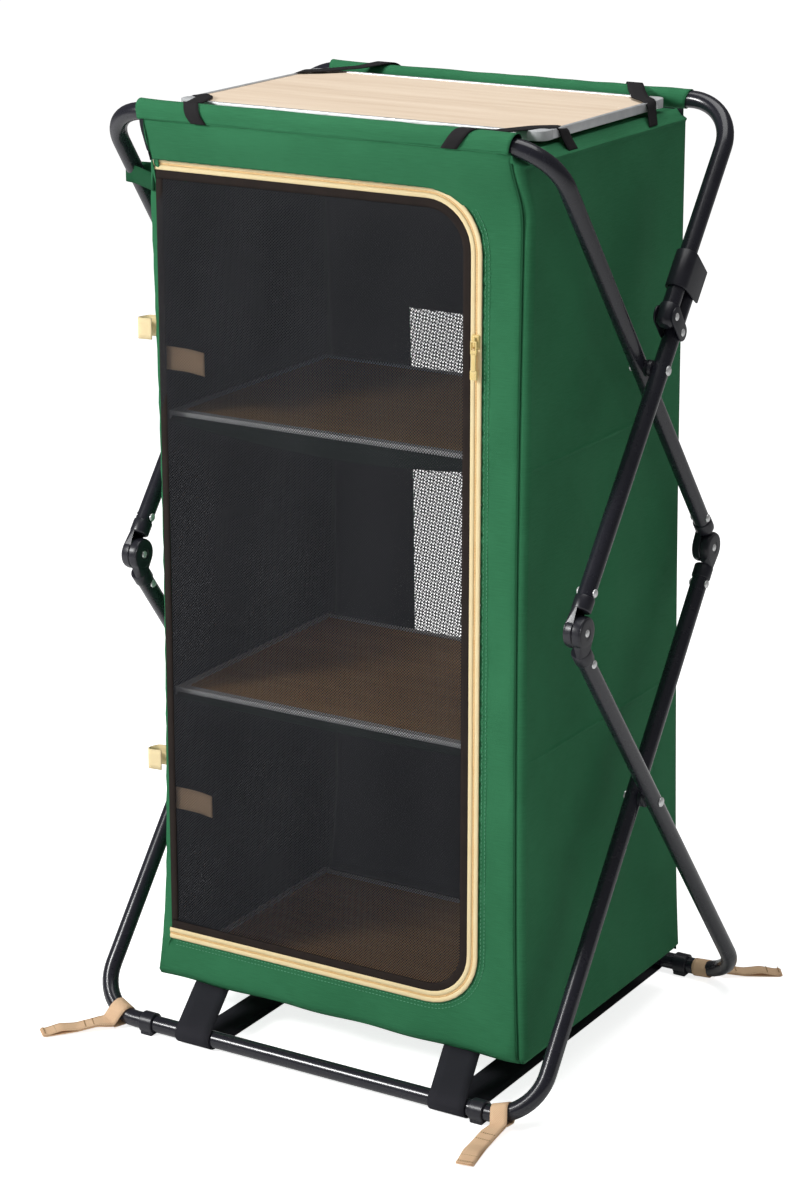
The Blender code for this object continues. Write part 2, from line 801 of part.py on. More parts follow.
def make_sleeves():
    """The sewn tunnels in which the two top rails lie."""
    rows = (("front", front_shift, front_rail, -up_front, sleeve_front_ends, back_knee),
            ("back", back_shift, back_rail, -up_back, sleeve_back_ends, break_hinge))
    for row, shift, rail, along, ends, pivot in rows:
        left, right = ends
        points = bow_points(shift, rail, along, bend_radius * 2)
        points = trimmed(points, side_x(-1, shift) + left, side_x(1, shift) - right)
        inner = tube_radius + gap
        mesh = hollow_tube(points, inner + sleeve_wall, inner)
        new_object("rail_sleeve_" + row, mesh, green_cloth(), pivot)


def make_door():
    """The net door, hinged along its left edge, with the zip round its other three."""
    y = front_y - gap - door_thickness
    hinge = Vector((opening_left - zip_width / 2, y, 0.0))
    outline = rounded(hinge.x, opening_right - gap, opening_low + gap, opening_top - gap,
                      opening_corner, y)
    push = Vector((0, door_thickness, 0))
    new_object("door_panel", prism(outline, push), black_net(), hinge)
    y = front_y - gap - zip_thickness
    push = Vector((0, zip_thickness, 0))
    outer = rounded(hinge.x, opening_right + zip_width, opening_low - zip_width,
                    opening_top + zip_width, opening_corner + zip_width, y)
    inner = rounded(hinge.x - overrun, opening_right, opening_low, opening_top,
                    opening_corner, y - overrun)
    hole = prism(inner, Vector((0, zip_thickness + 2 * overrun, 0)))
    new_object("zip_tape", cut(prism(outer, push), hole), cream_tape())
    face = y - gap
    middle = Vector((opening_right + zip_width / 2, face, slider_z))
    half = Vector((slider_width / 2, 0, slider_height / 2))
    body = block(middle - half - Vector((0, slider_depth, 0)), middle + half)
    new_object("zip_slider", body, bright_steel(), middle)
    hang = middle - Vector((0, slider_depth + gap, 0))
    half = Vector((pull_width / 2, 0, 0))
    pull = block(hang - half - Vector((0, pull_thickness, pull_length)), hang + half)
    new_object("zip_pull", pull, tan_webbing(), hang)


def tangent_turn(centre, point, radius, side):
    """Where a line from the point touches the circle, as a turn from +Y towards +Z."""
    away = point - centre
    return math.atan2(away.z, away.y) + side * math.acos(radius / away.length)


def arc(centre, radius, start, end):
    """Points round a circle in the side view."""
    turns = [start + (end - start) * step / arc_steps for step in range(arc_steps + 1)]
    return [centre + yz(math.cos(turn), math.sin(turn)) * radius for turn in turns]


def make_base_straps():
    """Wide straps from the bottom of the box round both lower rails and back beneath it."""
    reach = tube_radius + gap * 2 + base_strap_thickness / 2
    lip = base_strap_thickness / 2 + gap
    front_top = yz(front_y + cloth, cabinet_low - lip)
    back_top = yz(back_low_y - cloth, cabinet_low - lip)
    route = [front_top]
    route += arc(front_low_rail, reach, tangent_turn(front_low_rail, front_top, reach, 1),
                 math.radians(270.0))
    route += arc(back_low_rail, reach, math.radians(-90.0),
                 tangent_turn(back_low_rail, back_top, reach, -1))
    route.append(back_top)
    for side, word in ((-1, "left"), (1, "right")):
        across = Vector((base_strap_shift + side * base_strap_from_middle, 0, 0))
        mesh = strip([p + across for p in route], Vector((base_strap_width, 0, 0)),
                     base_strap_thickness)
        new_object("base_strap_" + word, mesh, black_webbing())


def make_corner_straps():
    """Elastic straps across the four corners of the table top."""
    table = cabinet_top + gap + table_thickness
    lift = corner_strap_thickness / 2 + gap
    rows = (("front", table_front_y, -1), ("back", table_front_y + table_depth, 1))
    for row, edge_y, outward in rows:
        for side, word in ((-1, "left"), (1, "right")):
            corner = Vector((side * half_cabinet, edge_y, table + lift))
            start = corner - Vector((side * corner_strap_inset, 0, 0))
            end = corner - Vector((0, outward * corner_strap_inset, 0))
            run = (end - start).normalized()
            half = corner_strap_width / 2
            start = start - run * (half * abs(run.x / run.y) + lift * 2)
            end = end + run * (half * abs(run.y / run.x) + lift * 2)
            drop = Vector((0, 0, table_thickness))
            route = [start - drop, start, end, end - drop]
            across = run.cross(Vector((0, 0, 1))) * corner_strap_width
            mesh = strip(route, across, corner_strap_thickness)
            new_object("corner_strap_" + row + "_" + word, mesh, black_webbing())


def make_ties():
    """Loops on the left edge that hold the door when it is rolled up."""
    for word, z in tie_heights.items():
        middle = Vector((wall_x(-1, z) - gap - tie_thickness, front_y + tie_loop / 2, z))
        half = Vector((0, tie_loop / 2, tie_width / 2))
        push = Vector((tie_thickness, 0, 0))
        plate = block(middle - half, middle + half + push)
        hole = half * tie_hole_share
        over = Vector((overrun, 0, 0))
        mesh = cut(plate, block(middle - hole - over, middle + hole + push + over))
        new_object("door_tie_" + word, mesh, cream_tape())


def build():
    clear_scene()
    make_bows()
    make_struts()
    make_knees()
    make_cross_pins()
    make_clamps()
    make_locks()
    make_feet()
    make_ground_loops()
    make_cloth_walls()
    make_boards()
    make_sleeves()
    make_door()
    make_base_straps()
    make_corner_straps()
    make_ties()


build()
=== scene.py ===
"""Looks of the folding camp shelf cabinet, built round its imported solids.

Metres, +Z up, door towards -Y. The cabinet's cloth hangs in four bent tubes, which cross twice
on each side and meet at knees.
"""
import math

import bmesh
import bpy
from mathutils import Matrix, Vector, noise


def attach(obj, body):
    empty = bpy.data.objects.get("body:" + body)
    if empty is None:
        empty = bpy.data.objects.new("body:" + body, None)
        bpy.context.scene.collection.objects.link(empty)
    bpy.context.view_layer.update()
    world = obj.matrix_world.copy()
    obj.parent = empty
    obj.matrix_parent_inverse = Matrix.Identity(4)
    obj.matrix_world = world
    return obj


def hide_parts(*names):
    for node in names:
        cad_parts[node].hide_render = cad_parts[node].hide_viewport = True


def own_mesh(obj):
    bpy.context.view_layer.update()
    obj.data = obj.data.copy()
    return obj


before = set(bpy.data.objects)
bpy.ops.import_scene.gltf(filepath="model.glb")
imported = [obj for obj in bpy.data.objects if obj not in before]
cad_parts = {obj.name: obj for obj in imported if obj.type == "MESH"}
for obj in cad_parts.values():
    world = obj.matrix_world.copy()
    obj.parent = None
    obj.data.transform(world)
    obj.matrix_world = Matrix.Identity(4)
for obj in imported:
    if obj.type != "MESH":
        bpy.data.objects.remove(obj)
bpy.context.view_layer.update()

# The frame's sizes, as in the solids
TUBE = 0.009  # outer radius
BEND = 0.052
HALF_FRAME = 0.262
STAGGER = 0.023  # the front tubes stand this far to the left of the back ones
SPLAY = 0.0075
LINK = 0.281  # from a crossing to a knee
REST = math.radians(36.0)
KNEE_OFF = 0.0095
TILT = REST + math.asin(KNEE_OFF / LINK)
CROSS_RUN = math.sqrt(LINK ** 2 - KNEE_OFF ** 2)
TUBE_END = 0.026
STRUT_GAP = 0.0225
HINGE_UP = 0.049
RAIL_LEVEL = 0.012  # centre of the lower rails
LOW_CROSS_LEVEL = 0.291

# The cabinet's sizes: hem and top of its cloth, front, door and seams
LOW, TOP = 0.0470, 0.982
FRONT = -0.172
CLOTH = 0.0012
HEM = 0.9715
SEAMS = (0.063, 0.3665, 0.375, 0.6675, 0.676, TOP)  # pairs, between which the walls hang free
SHELF_SEAMS = (0.371, 0.672)
HALF_WIDTH = 0.220
DOOR_LEFT, DOOR_RIGHT, DOOR_LOW, DOOR_TOP = -0.2095, 0.157, 0.106, 0.930
DOOR_CORNER = 0.050
BESIDE_ZIP = 0.0105  # from the door's edge to the front cloth
TABLE_LEFT, TABLE_RIGHT, TABLE_FRONT, TABLE_BACK = -0.2080, 0.2125, -0.1365, 0.1235
TABLE_LOW, TABLE_HIGH = 0.9866, 0.9956

# How the front upper bow's left leg leans in to its rail, and where the green tab holds it
LEG_LEAN_IN = 0.0150
TAB_DOWN = 0.094

# The photograph's camera, from the fit to the frame
PHOTO_SIZE = (811, 1200)  # pixels
PHOTO_MIDDLE = (402, 544)  # where the lens points, in pixels
FOCAL_PIXELS = 3194
SENSOR = 36.0  # millimetres
VIEW_TURN, VIEW_RISE = math.radians(31.0), math.radians(16.3)
VIEW_AIM = (-0.0269, 0.0024, 0.52)
VIEW_AWAY = 3.38


def yz(y, z):
    """A vector in the frame's side view."""
    return Vector((0.0, y, z))


UP_BACK = yz(math.sin(TILT), math.cos(TILT))
UP_FRONT = yz(-math.sin(TILT), math.cos(TILT))
ACROSS = yz(-math.cos(TILT), math.sin(TILT))
LOW_CROSS = yz(0.0, LOW_CROSS_LEVEL)
HIGH_CROSS = LOW_CROSS + yz(0.0, 2 * LINK * math.cos(REST))
FRONT_KNEE = yz(-LINK * math.sin(REST), LOW_CROSS.z + LINK * math.cos(REST))
BACK_KNEE = yz(LINK * math.sin(REST), FRONT_KNEE.z)
LOWER_RUN = (LOW_CROSS.z - RAIL_LEVEL) / math.cos(TILT)
UPPER_RUN = 0.24433 / math.cos(TILT)
FRONT_FOOT = LOW_CROSS - UP_BACK * LOWER_RUN
BACK_FOOT = LOW_CROSS - UP_FRONT * LOWER_RUN
FRONT_RAIL = HIGH_CROSS + UP_FRONT * UPPER_RUN
HINGE = HIGH_CROSS + UP_BACK * HINGE_UP + ACROSS * STRUT_GAP
BACK_RAIL = HINGE + UP_BACK * ((FRONT_RAIL.z - HINGE.z) / math.cos(TILT))
LEAN = SPLAY / (LOWER_RUN + CROSS_RUN - BEND)


# ---------------------------------------------------------------- materials

def add(tree, kind, **inputs):
    """A node with plain values on some of its sockets."""
    made = tree.nodes.new("ShaderNode" + kind)
    for label, value in inputs.items():
        made.inputs[label.replace("_", " ")].default_value = value
    return made


def sums(tree, operation, first, second=None):
    """A Math node; each side is a socket or a number."""
    made = tree.nodes.new("ShaderNodeMath")
    made.operation = operation
    for place, value in ((0, first), (1, second)):
        if isinstance(value, (int, float)):
            made.inputs[place].default_value = value
        elif value is not None:
            tree.links.new(value, made.inputs[place])
    return made.outputs[0]


def shared(name, inputs, outputs):
    """An empty node group with named sockets."""
    tree = bpy.data.node_groups.new(name, "ShaderNodeTree")
    for label, kind, value in inputs:
        socket = tree.interface.new_socket(label, in_out="INPUT", socket_type="NodeSocket" + kind)
        if value is not None:
            socket.default_value = value
    for label, kind in outputs:
        tree.interface.new_socket(label, in_out="OUTPUT", socket_type="NodeSocket" + kind)
    return tree, tree.nodes.new("NodeGroupInput"), tree.nodes.new("NodeGroupOutput")


def scaled(tree, vector, factors):
    """A vector times a plain vector or a socket."""
    made = tree.nodes.new("ShaderNodeVectorMath")
    made.operation = "MULTIPLY"
    tree.links.new(vector, made.inputs[0])
    if isinstance(factors, tuple):
        made.inputs[1].default_value = factors
    else:
        tree.links.new(factors, made.inputs[1])
    return made.outputs[0]


def plain_weave():
    """Over-and-under yarns from a map in metres: their height, and where they part."""
    tree, given, out = shared("plain_weave", [("Vector", "Vector", None), ("Yarns", "Float", 900.0)],
                              [("Height", "Float"), ("Gap", "Float")])
    both = tree.nodes.new("ShaderNodeCombineXYZ")
    for axis in range(2):
        tree.links.new(given.outputs["Yarns"], both.inputs[axis])
    place = scaled(tree, given.outputs["Vector"], both.outputs[0])
    parts = tree.nodes.new("ShaderNodeSeparateXYZ")
    tree.links.new(place, parts.inputs[0])
    warp = sums(tree, "ABSOLUTE", sums(tree, "SINE", sums(tree, "MULTIPLY", parts.outputs[0], math.pi)))
    weft = sums(tree, "ABSOLUTE", sums(tree, "SINE", sums(tree, "MULTIPLY", parts.outputs[1], math.pi)))
    over = add(tree, "TexChecker", Scale=1.0)
    tree.links.new(place, over.inputs["Vector"])
    under = sums(tree, "SUBTRACT", 1.0, over.outputs["Fac"])
    height = sums(tree, "MAXIMUM", sums(tree, "MULTIPLY", warp, over.outputs["Fac"]),
                  sums(tree, "MULTIPLY", weft, under))
    tree.links.new(height, out.inputs["Height"])
    tree.links.new(sums(tree, "SUBTRACT", 1.0, sums(tree, "MULTIPLY", warp, weft)), out.inputs["Gap"])
    return tree


def cloth_tone():
    """Uneven dye and yarn, from broad clouds to thin slubs."""
    tree, given, out = shared("cloth_tone", [("Vector", "Vector", None), ("Broad", "Float", 7.0)],
                              [("Tone", "Float"), ("Slub", "Float")])
    broad = add(tree, "TexNoise", Detail=3.0, Roughness=0.55)
    tree.links.new(given.outputs["Vector"], broad.inputs["Vector"])
    tree.links.new(given.outputs["Broad"], broad.inputs["Scale"])
    fine = add(tree, "TexNoise", Scale=1.0, Detail=2.0)
    tree.links.new(scaled(tree, given.outputs["Vector"], (60.0, 900.0, 60.0)), fine.inputs["Vector"])
    tree.links.new(broad.outputs["Fac"], out.inputs["Tone"])
    tree.links.new(fine.outputs["Fac"], out.inputs["Slub"])
    return tree


def webbing_ribs():
    """Ribs across a woven band: U runs across it and V along, both in metres."""
    tree, given, out = shared("webbing_ribs", [("Vector", "Vector", None), ("Ribs", "Float", 620.0)],
                              [("Height", "Float"), ("Groove", "Float")])
    parts = tree.nodes.new("ShaderNodeSeparateXYZ")
    tree.links.new(given.outputs["Vector"], parts.inputs[0])
    along = sums(tree, "MULTIPLY", parts.outputs[1], given.outputs["Ribs"])
    across = sums(tree, "MULTIPLY", parts.outputs[0], 900.0)
    step = sums(tree, "MULTIPLY", sums(tree, "FLOOR", across), 0.5)
    waves = sums(tree, "MULTIPLY", sums(tree, "ADD", along, step), math.pi)
    rib = sums(tree, "ABSOLUTE", sums(tree, "SINE", waves))
    yarn = sums(tree, "ABSOLUTE", sums(tree, "SINE", sums(tree, "MULTIPLY", across, math.pi)))
    height = sums(tree, "ADD", sums(tree, "MULTIPLY", rib, 0.7), sums(tree, "MULTIPLY", yarn, 0.3))
    tree.links.new(height, out.inputs["Height"])
    tree.links.new(sums(tree, "SUBTRACT", 1.0, height), out.inputs["Groove"])
    return tree


def net_holes():
    """Round holes in a staggered net: where there is thread, and how thick it stands."""
    tree, given, out = shared("net_holes", [("Vector", "Vector", None), ("Pitch", "Float", 0.0024),
                                            ("Hole", "Float", 0.30), ("Angle", "Float", 0.785)],
                              [("Thread", "Float"), ("Height", "Float")])
    turn = add(tree, "VectorRotate")
    tree.links.new(given.outputs["Angle"], turn.inputs["Angle"])
    tree.links.new(given.outputs["Vector"], turn.inputs["Vector"])
    share = sums(tree, "DIVIDE", 1.0, given.outputs["Pitch"])
    both = tree.nodes.new("ShaderNodeCombineXYZ")
    for axis in range(2):
        tree.links.new(share, both.inputs[axis])
    cell = tree.nodes.new("ShaderNodeVectorMath")
    cell.operation = "FRACTION"
    tree.links.new(scaled(tree, turn.outputs[0], both.outputs[0]), cell.inputs[0])
    middle = tree.nodes.new("ShaderNodeVectorMath")
    middle.operation = "DISTANCE"
    middle.inputs[1].default_value = (0.5, 0.5, 0.0)
    tree.links.new(cell.outputs[0], middle.inputs[0])
    far = middle.outputs["Value"]
    thread = sums(tree, "SUBTRACT", far, given.outputs["Hole"])
    edge = sums(tree, "MINIMUM", sums(tree, "MAXIMUM", sums(tree, "MULTIPLY", thread, 12.0), 0.0), 1.0)
    tree.links.new(edge, out.inputs["Thread"])
    tree.links.new(sums(tree, "MAXIMUM", thread, 0.0), out.inputs["Height"])
    return tree


def worn():
    """Faint rubbed patches and fine scratches on a hard surface."""
    tree, given, out = shared("worn", [("Vector", "Vector", None), ("Size", "Float", 60.0)],
                              [("Patch", "Float"), ("Grain", "Float")])
    patch = add(tree, "TexNoise", Detail=5.0, Roughness=0.65)
    tree.links.new(given.outputs["Vector"], patch.inputs["Vector"])
    tree.links.new(given.outputs["Size"], patch.inputs["Scale"])
    grain = add(tree, "TexNoise", Scale=1600.0, Detail=2.0)
    tree.links.new(given.outputs["Vector"], grain.inputs["Vector"])
    tree.links.new(patch.outputs["Fac"], out.inputs["Patch"])
    tree.links.new(grain.outputs["Fac"], out.inputs["Grain"])
    return tree


def board_grain():
    """Long grain with pores, running along X."""
    tree, given, out = shared("board_grain", [("Vector", "Vector", None)],
                              [("Grain", "Float"), ("Pore", "Float")])
    rough = add(tree, "TexNoise", Scale=1.0, Detail=6.0, Roughness=0.6, Distortion=0.4)
    tree.links.new(scaled(tree, given.outputs["Vector"], (5.0, 90.0, 90.0)), rough.inputs["Vector"])
    pores = add(tree, "TexNoise", Scale=1.0, Detail=3.0, Roughness=0.7)
    tree.links.new(scaled(tree, given.outputs["Vector"], (60.0, 1400.0, 1400.0)), pores.inputs["Vector"])
    tree.links.new(rough.outputs["Fac"], out.inputs["Grain"])
    tree.links.new(pores.outputs["Fac"], out.inputs["Pore"])
    return tree


weave, tone, ribs, holes, wear, grain = (plain_weave(), cloth_tone(), webbing_ribs(), net_holes(),
                                         worn(), board_grain())


def placed(tree, group, vector, **values):
    """One of the node groups, in a material's tree."""
    made = tree.nodes.new("ShaderNodeGroup")
    made.node_tree = group
    if vector is not None:
        tree.links.new(vector, made.inputs["Vector"])
    for label, value in values.items():
        made.inputs[label].default_value = value
    return made


def started(name, roughness, metallic=0.0, **plain):
    """A new material: its tree, its shader and where its points are."""
    material = bpy.data.materials.new(name)
    material.use_nodes = True
    tree = material.node_tree
    shader = tree.nodes["Principled BSDF"]
    shader.inputs["Roughness"].default_value = roughness
    shader.inputs["Metallic"].default_value = metallic
    for label, value in plain.items():
        shader.inputs[label.replace("_", " ")].default_value = value
    return material, tree, shader, tree.nodes.new("ShaderNodeTexCoord")


def tinted(tree, shader, factor, dark, light, low=0.3, high=0.7):
    """Base colour between two tints by a value."""
    ramp = tree.nodes.new("ShaderNodeMapRange")
    ramp.inputs["From Min"].default_value = low
    ramp.inputs["From Max"].default_value = high
    tree.links.new(factor, ramp.inputs["Value"])
    mix = tree.nodes.new("ShaderNodeMix")
    mix.data_type = "RGBA"
    mix.inputs["A"].default_value = (*dark, 1.0)
    mix.inputs["B"].default_value = (*light, 1.0)
    tree.links.new(ramp.outputs["Result"], mix.inputs["Factor"])
    tree.links.new(mix.outputs["Result"], shader.inputs["Base Color"])
    return mix


def dulled(tree, shader, factor, low, high):
    """Roughness between two values."""
    ramp = tree.nodes.new("ShaderNodeMapRange")
    ramp.inputs["From Min"].default_value = 0.3
    ramp.inputs["From Max"].default_value = 0.7
    ramp.inputs["To Min"].default_value = low
    ramp.inputs["To Max"].default_value = high
    tree.links.new(factor, ramp.inputs["Value"])
    tree.links.new(ramp.outputs["Result"], shader.inputs["Roughness"])


def raised(tree, shader, height, distance, strength=1.0):
    """Bump from a height."""
    bump = tree.nodes.new("ShaderNodeBump")
    bump.inputs["Distance"].default_value = distance
    bump.inputs["Strength"].default_value = strength
    tree.links.new(height, bump.inputs["Height"])
    tree.links.new(bump.outputs["Normal"], shader.inputs["Normal"])


def hard_finish(name, dark, light, rough, metallic=0.0, size=60.0, pit=0.00006, **plain):
    """Paint, plastic or metal with rubbed patches and a fine skin."""
    material, tree, shader, points = started(name, rough[0], metallic, **plain)
    marks = placed(tree, wear, points.outputs["Object"], Size=size)
    tinted(tree, shader, marks.outputs["Patch"], dark, light)
    dulled(tree, shader, marks.outputs["Patch"], *rough)
    raised(tree, shader, marks.outputs["Grain"], pit)
    return material


def woven_finish(name, dark, light, yarns=900.0, lift=0.00018, rough=0.82, **plain):
    """Oxford cloth from the piece's own map in metres."""
    material, tree, shader, points = started(name, rough, 0.0, **plain)
    yarn = placed(tree, weave, points.outputs["UV"], Yarns=yarns)
    dye = placed(tree, tone, points.outputs["UV"])
    blend = sums(tree, "ADD", sums(tree, "MULTIPLY", dye.outputs["Tone"], 0.45),
                 sums(tree, "ADD", sums(tree, "MULTIPLY", dye.outputs["Slub"], 0.30),
                      sums(tree, "MULTIPLY", yarn.outputs["Height"], 0.25)))
    tinted(tree, shader, blend, dark, light, 0.38, 0.66)
    raised(tree, shader, sums(tree, "ADD", yarn.outputs["Height"], dye.outputs["Slub"]), lift)
    return material


def band_finish(name, dark, light, count=620.0, lift=0.0003, rough=0.8):
    """Ribbed webbing from the piece's own map."""
    material, tree, shader, points = started(name, rough, 0.0, Specular_IOR_Level=0.15)
    rib = placed(tree, ribs, points.outputs["UV"], Ribs=count)
    dye = placed(tree, tone, points.outputs["UV"], Broad=30.0)
    blend = sums(tree, "ADD", sums(tree, "MULTIPLY", rib.outputs["Height"], 0.6),
                 sums(tree, "MULTIPLY", dye.outputs["Tone"], 0.4))
    tinted(tree, shader, blend, dark, light, 0.25, 0.75)
    raised(tree, shader, rib.outputs["Height"], lift)
    return material


def net_finish(name, dark, light, pitch, hole, angle):
    """See-through net from the piece's own map."""
    material, tree, shader, points = started(name, 0.5, 0.0, Specular_IOR_Level=0.25)
    net = placed(tree, holes, points.outputs["UV"], Pitch=pitch, Hole=hole, Angle=math.radians(angle))
    dye = placed(tree, tone, points.outputs["UV"], Broad=5.0)
    tinted(tree, shader, dye.outputs["Tone"], dark, light)
    raised(tree, shader, net.outputs["Height"], 0.0004)
    path = tree.nodes.new("ShaderNodeLightPath")
    even = tree.nodes.new("ShaderNodeMix")
    even.inputs["B"].default_value = 1.0 - math.pi * hole * hole * 0.75
    tree.links.new(path.outputs["Is Shadow Ray"], even.inputs["Factor"])
    tree.links.new(net.outputs["Thread"], even.inputs["A"])
    tree.links.new(even.outputs["Result"], shader.inputs["Alpha"])
    return material


def board_finish(name, dark, light, rough):
    """Board with a printed grain and fine pores."""
    material, tree, shader, points = started(name, rough[0])
    wood = placed(tree, grain, points.outputs["Object"])
    blend = sums(tree, "ADD", sums(tree, "MULTIPLY", wood.outputs["Grain"], 0.7),
                 sums(tree, "MULTIPLY", wood.outputs["Pore"], 0.3))
    tinted(tree, shader, blend, dark, light, 0.35, 0.65)
    dulled(tree, shader, wood.outputs["Grain"], *rough)
    raised(tree, shader, wood.outputs["Pore"], 0.00008)
    return material


powder_coat = hard_finish("powder_coat", (0.014, 0.014, 0.021), (0.018, 0.018, 0.026), (0.24, 0.30),
                          size=40.0, pit=0.00002, Specular_IOR_Level=0.4, Coat_Weight=0.4,
                          Coat_Roughness=0.13)
moulded_black = hard_finish("moulded_black", (0.014, 0.014, 0.020), (0.020, 0.020, 0.028), (0.28, 0.36),
                            pit=0.00005)
rivet_alloy = hard_finish("rivet_alloy", (0.78, 0.79, 0.79), (0.92, 0.92, 0.92), (0.22, 0.38), 0.55)
brushed_edge = hard_finish("brushed_edge", (0.72, 0.73, 0.75), (0.86, 0.87, 0.88), (0.30, 0.45), 0.6)
grey_corner = hard_finish("grey_corner", (0.46, 0.47, 0.48), (0.56, 0.57, 0.58), (0.42, 0.55))
green_cloth = woven_finish("green_cloth", (0.023, 0.156, 0.064), (0.040, 0.224, 0.098),
                           Specular_IOR_Level=0.22)
# The cloth's inner face, painted near black: painted shade for the cabinet's dark inside.
inside_painted_shade = woven_finish("inside_painted_shade", (0.013, 0.015, 0.019), (0.022, 0.025, 0.031), rough=0.7,
                              Specular_IOR_Level=0.2)
green_tape = band_finish("green_tape", (0.006, 0.060, 0.022), (0.014, 0.095, 0.040), 700.0, 0.0002)
green_thread = hard_finish("green_thread", (0.10, 0.36, 0.20), (0.16, 0.46, 0.28), (0.6, 0.8))
cream_tape = band_finish("cream_tape", (0.93, 0.68, 0.34), (1.0, 0.86, 0.53), 900.0, 0.0002, 0.65)
zip_coil = hard_finish("zip_coil", (0.72, 0.40, 0.14), (0.88, 0.60, 0.28), (0.35, 0.5))
zip_yellow = hard_finish("zip_yellow", (0.80, 0.58, 0.20), (0.90, 0.71, 0.32), (0.32, 0.45))
tan_band = band_finish("tan_band", (0.72, 0.44, 0.25), (0.93, 0.66, 0.43), 560.0, 0.0004)
tan_thread = hard_finish("tan_thread", (0.34, 0.20, 0.08), (0.42, 0.26, 0.12), (0.6, 0.8))
black_elastic = band_finish("black_elastic", (0.012, 0.011, 0.012), (0.026, 0.024, 0.026), 700.0, 0.0002)
black_band = band_finish("black_band", (0.018, 0.018, 0.023), (0.030, 0.030, 0.037), 480.0, 0.0002)
binding = band_finish("binding", (0.010, 0.008, 0.008), (0.034, 0.024, 0.020), 500.0, 0.0003)
door_net = net_finish("door_net", (0.014, 0.015, 0.019), (0.022, 0.023, 0.028), 0.0022, 0.335, 45.0)
window_net = net_finish("window_net", (0.030, 0.031, 0.036), (0.050, 0.051, 0.058), 0.0041, 0.37, 12.0)
pale_board = board_finish("pale_board", (0.84, 0.66, 0.49), (0.92, 0.76, 0.59), (0.42, 0.58))
# The pockets' green cloth, painted near black: painted shade under the shelves, behind the door net.
pocket_painted_shade = woven_finish("pocket_painted_shade", (0.004, 0.016, 0.009), (0.008, 0.028, 0.017),
                            Specular_IOR_Level=0.2)
shelf_board = board_finish("shelf_board", (0.60, 0.33, 0.13), (0.78, 0.48, 0.22), (0.5, 0.65))
shelf_trim = hard_finish("shelf_trim", (0.88, 0.89, 0.91), (0.96, 0.96, 0.97), (0.25, 0.4))


# ---------------------------------------------------------------- building pieces

def new_piece(name, bm, material, body, replaces=(), sharp=35.0, inner=None):
    """Turns a bmesh into a named piece that rides on a body."""
    mesh = bpy.data.meshes.new(name)
    bm.to_mesh(mesh)
    bm.free()
    mesh.materials.append(material)
    if inner:
        mesh.materials.append(inner)
    mesh.shade_smooth()
    mesh.set_sharp_from_angle(angle=math.radians(sharp))
    piece = bpy.data.objects.new(name, mesh)
    bpy.context.scene.collection.objects.link(piece)
    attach(piece, body)
    if replaces:
        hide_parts(*replaces)
    return piece


def sink(piece):
    """Gives a cloth piece its own copy of its mesh."""
    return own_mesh(piece)


def clean(bm):
    """Joins points that lie on each other and turns the faces outward."""
    bmesh.ops.remove_doubles(bm, verts=bm.verts, dist=1e-6)
    bmesh.ops.recalc_face_normals(bm, faces=bm.faces)
    return bm


def facing(direction):
    """The turn that brings +Z to a direction."""
    return direction.to_track_quat("Z", "Y").to_matrix().to_4x4()


def only(kind, geometry):
    """The points, edges or faces out of an operator's result."""
    return [part for part in geometry if isinstance(part, kind)]


def soften(bm, edges, by, segments=3):
    """Rounds edges."""
    bmesh.ops.bevel(bm, geom=edges, offset=by, offset_type="OFFSET", segments=segments, profile=0.5,
                    affect="EDGES", material=-1)


def corners(bm, degrees=60.0):
    """The edges that turn by more than an angle."""
    return [edge for edge in bm.edges if edge.calc_face_angle(0.0) > math.radians(degrees)]


def wrap(bm):
    """A hull round all points, with none left inside."""
    hull = bmesh.ops.convex_hull(bm, input=bm.verts)
    inside = only(bmesh.types.BMVert, hull["geom_interior"])
    if inside:
        bmesh.ops.delete(bm, geom=inside, context="VERTS")


def absorb(bm, part):
    """Adds a part's mesh to another and frees the part."""
    mesh = bpy.data.meshes.new("part")
    part.to_mesh(mesh)
    part.free()
    bm.from_mesh(mesh)
    bpy.data.meshes.remove(mesh)


def pipe(points, radius, corner=BEND, sides=28, steps=14, bm=None):
    """A round tube along straight runs, its corners bent to one radius and its ends closed."""
    bm = bm or bmesh.new()
    turn = Matrix.Translation(points[0]) @ facing(points[1] - points[0])
    made = bmesh.ops.create_circle(bm, segments=sides, radius=radius, matrix=turn)
    edges = list({edge for vert in made["verts"] for edge in vert.link_edges})
    first = edges

    def run(edges, push):
        result = bmesh.ops.extrude_edge_only(bm, edges=edges)["geom"]
        verts = only(bmesh.types.BMVert, result)
        bmesh.ops.translate(bm, vec=push, verts=verts)
        new = set(verts)
        return [edge for edge in only(bmesh.types.BMEdge, result) if set(edge.verts) <= new]

    at = points[0]
    for before, here, after in zip(points, points[1:], points[2:]):
        enter = (here - before).normalized()
        leave = (after - here).normalized()
        angle = enter.angle(leave)
        trim = corner * math.tan(angle / 2)
        start = here - enter * trim
        edges = run(edges, start - at)
        axis = enter.cross(leave).normalized()
        result = bmesh.ops.spin(bm, geom=edges, cent=start + axis.cross(enter) * corner, axis=axis,
                                angle=angle, steps=steps)
        edges = only(bmesh.types.BMEdge, result["geom_last"])
        at = here + leave * trim
    edges = run(edges, points[-1] - at)
    bmesh.ops.holes_fill(bm, edges=first)
    bmesh.ops.holes_fill(bm, edges=edges)
    return bm


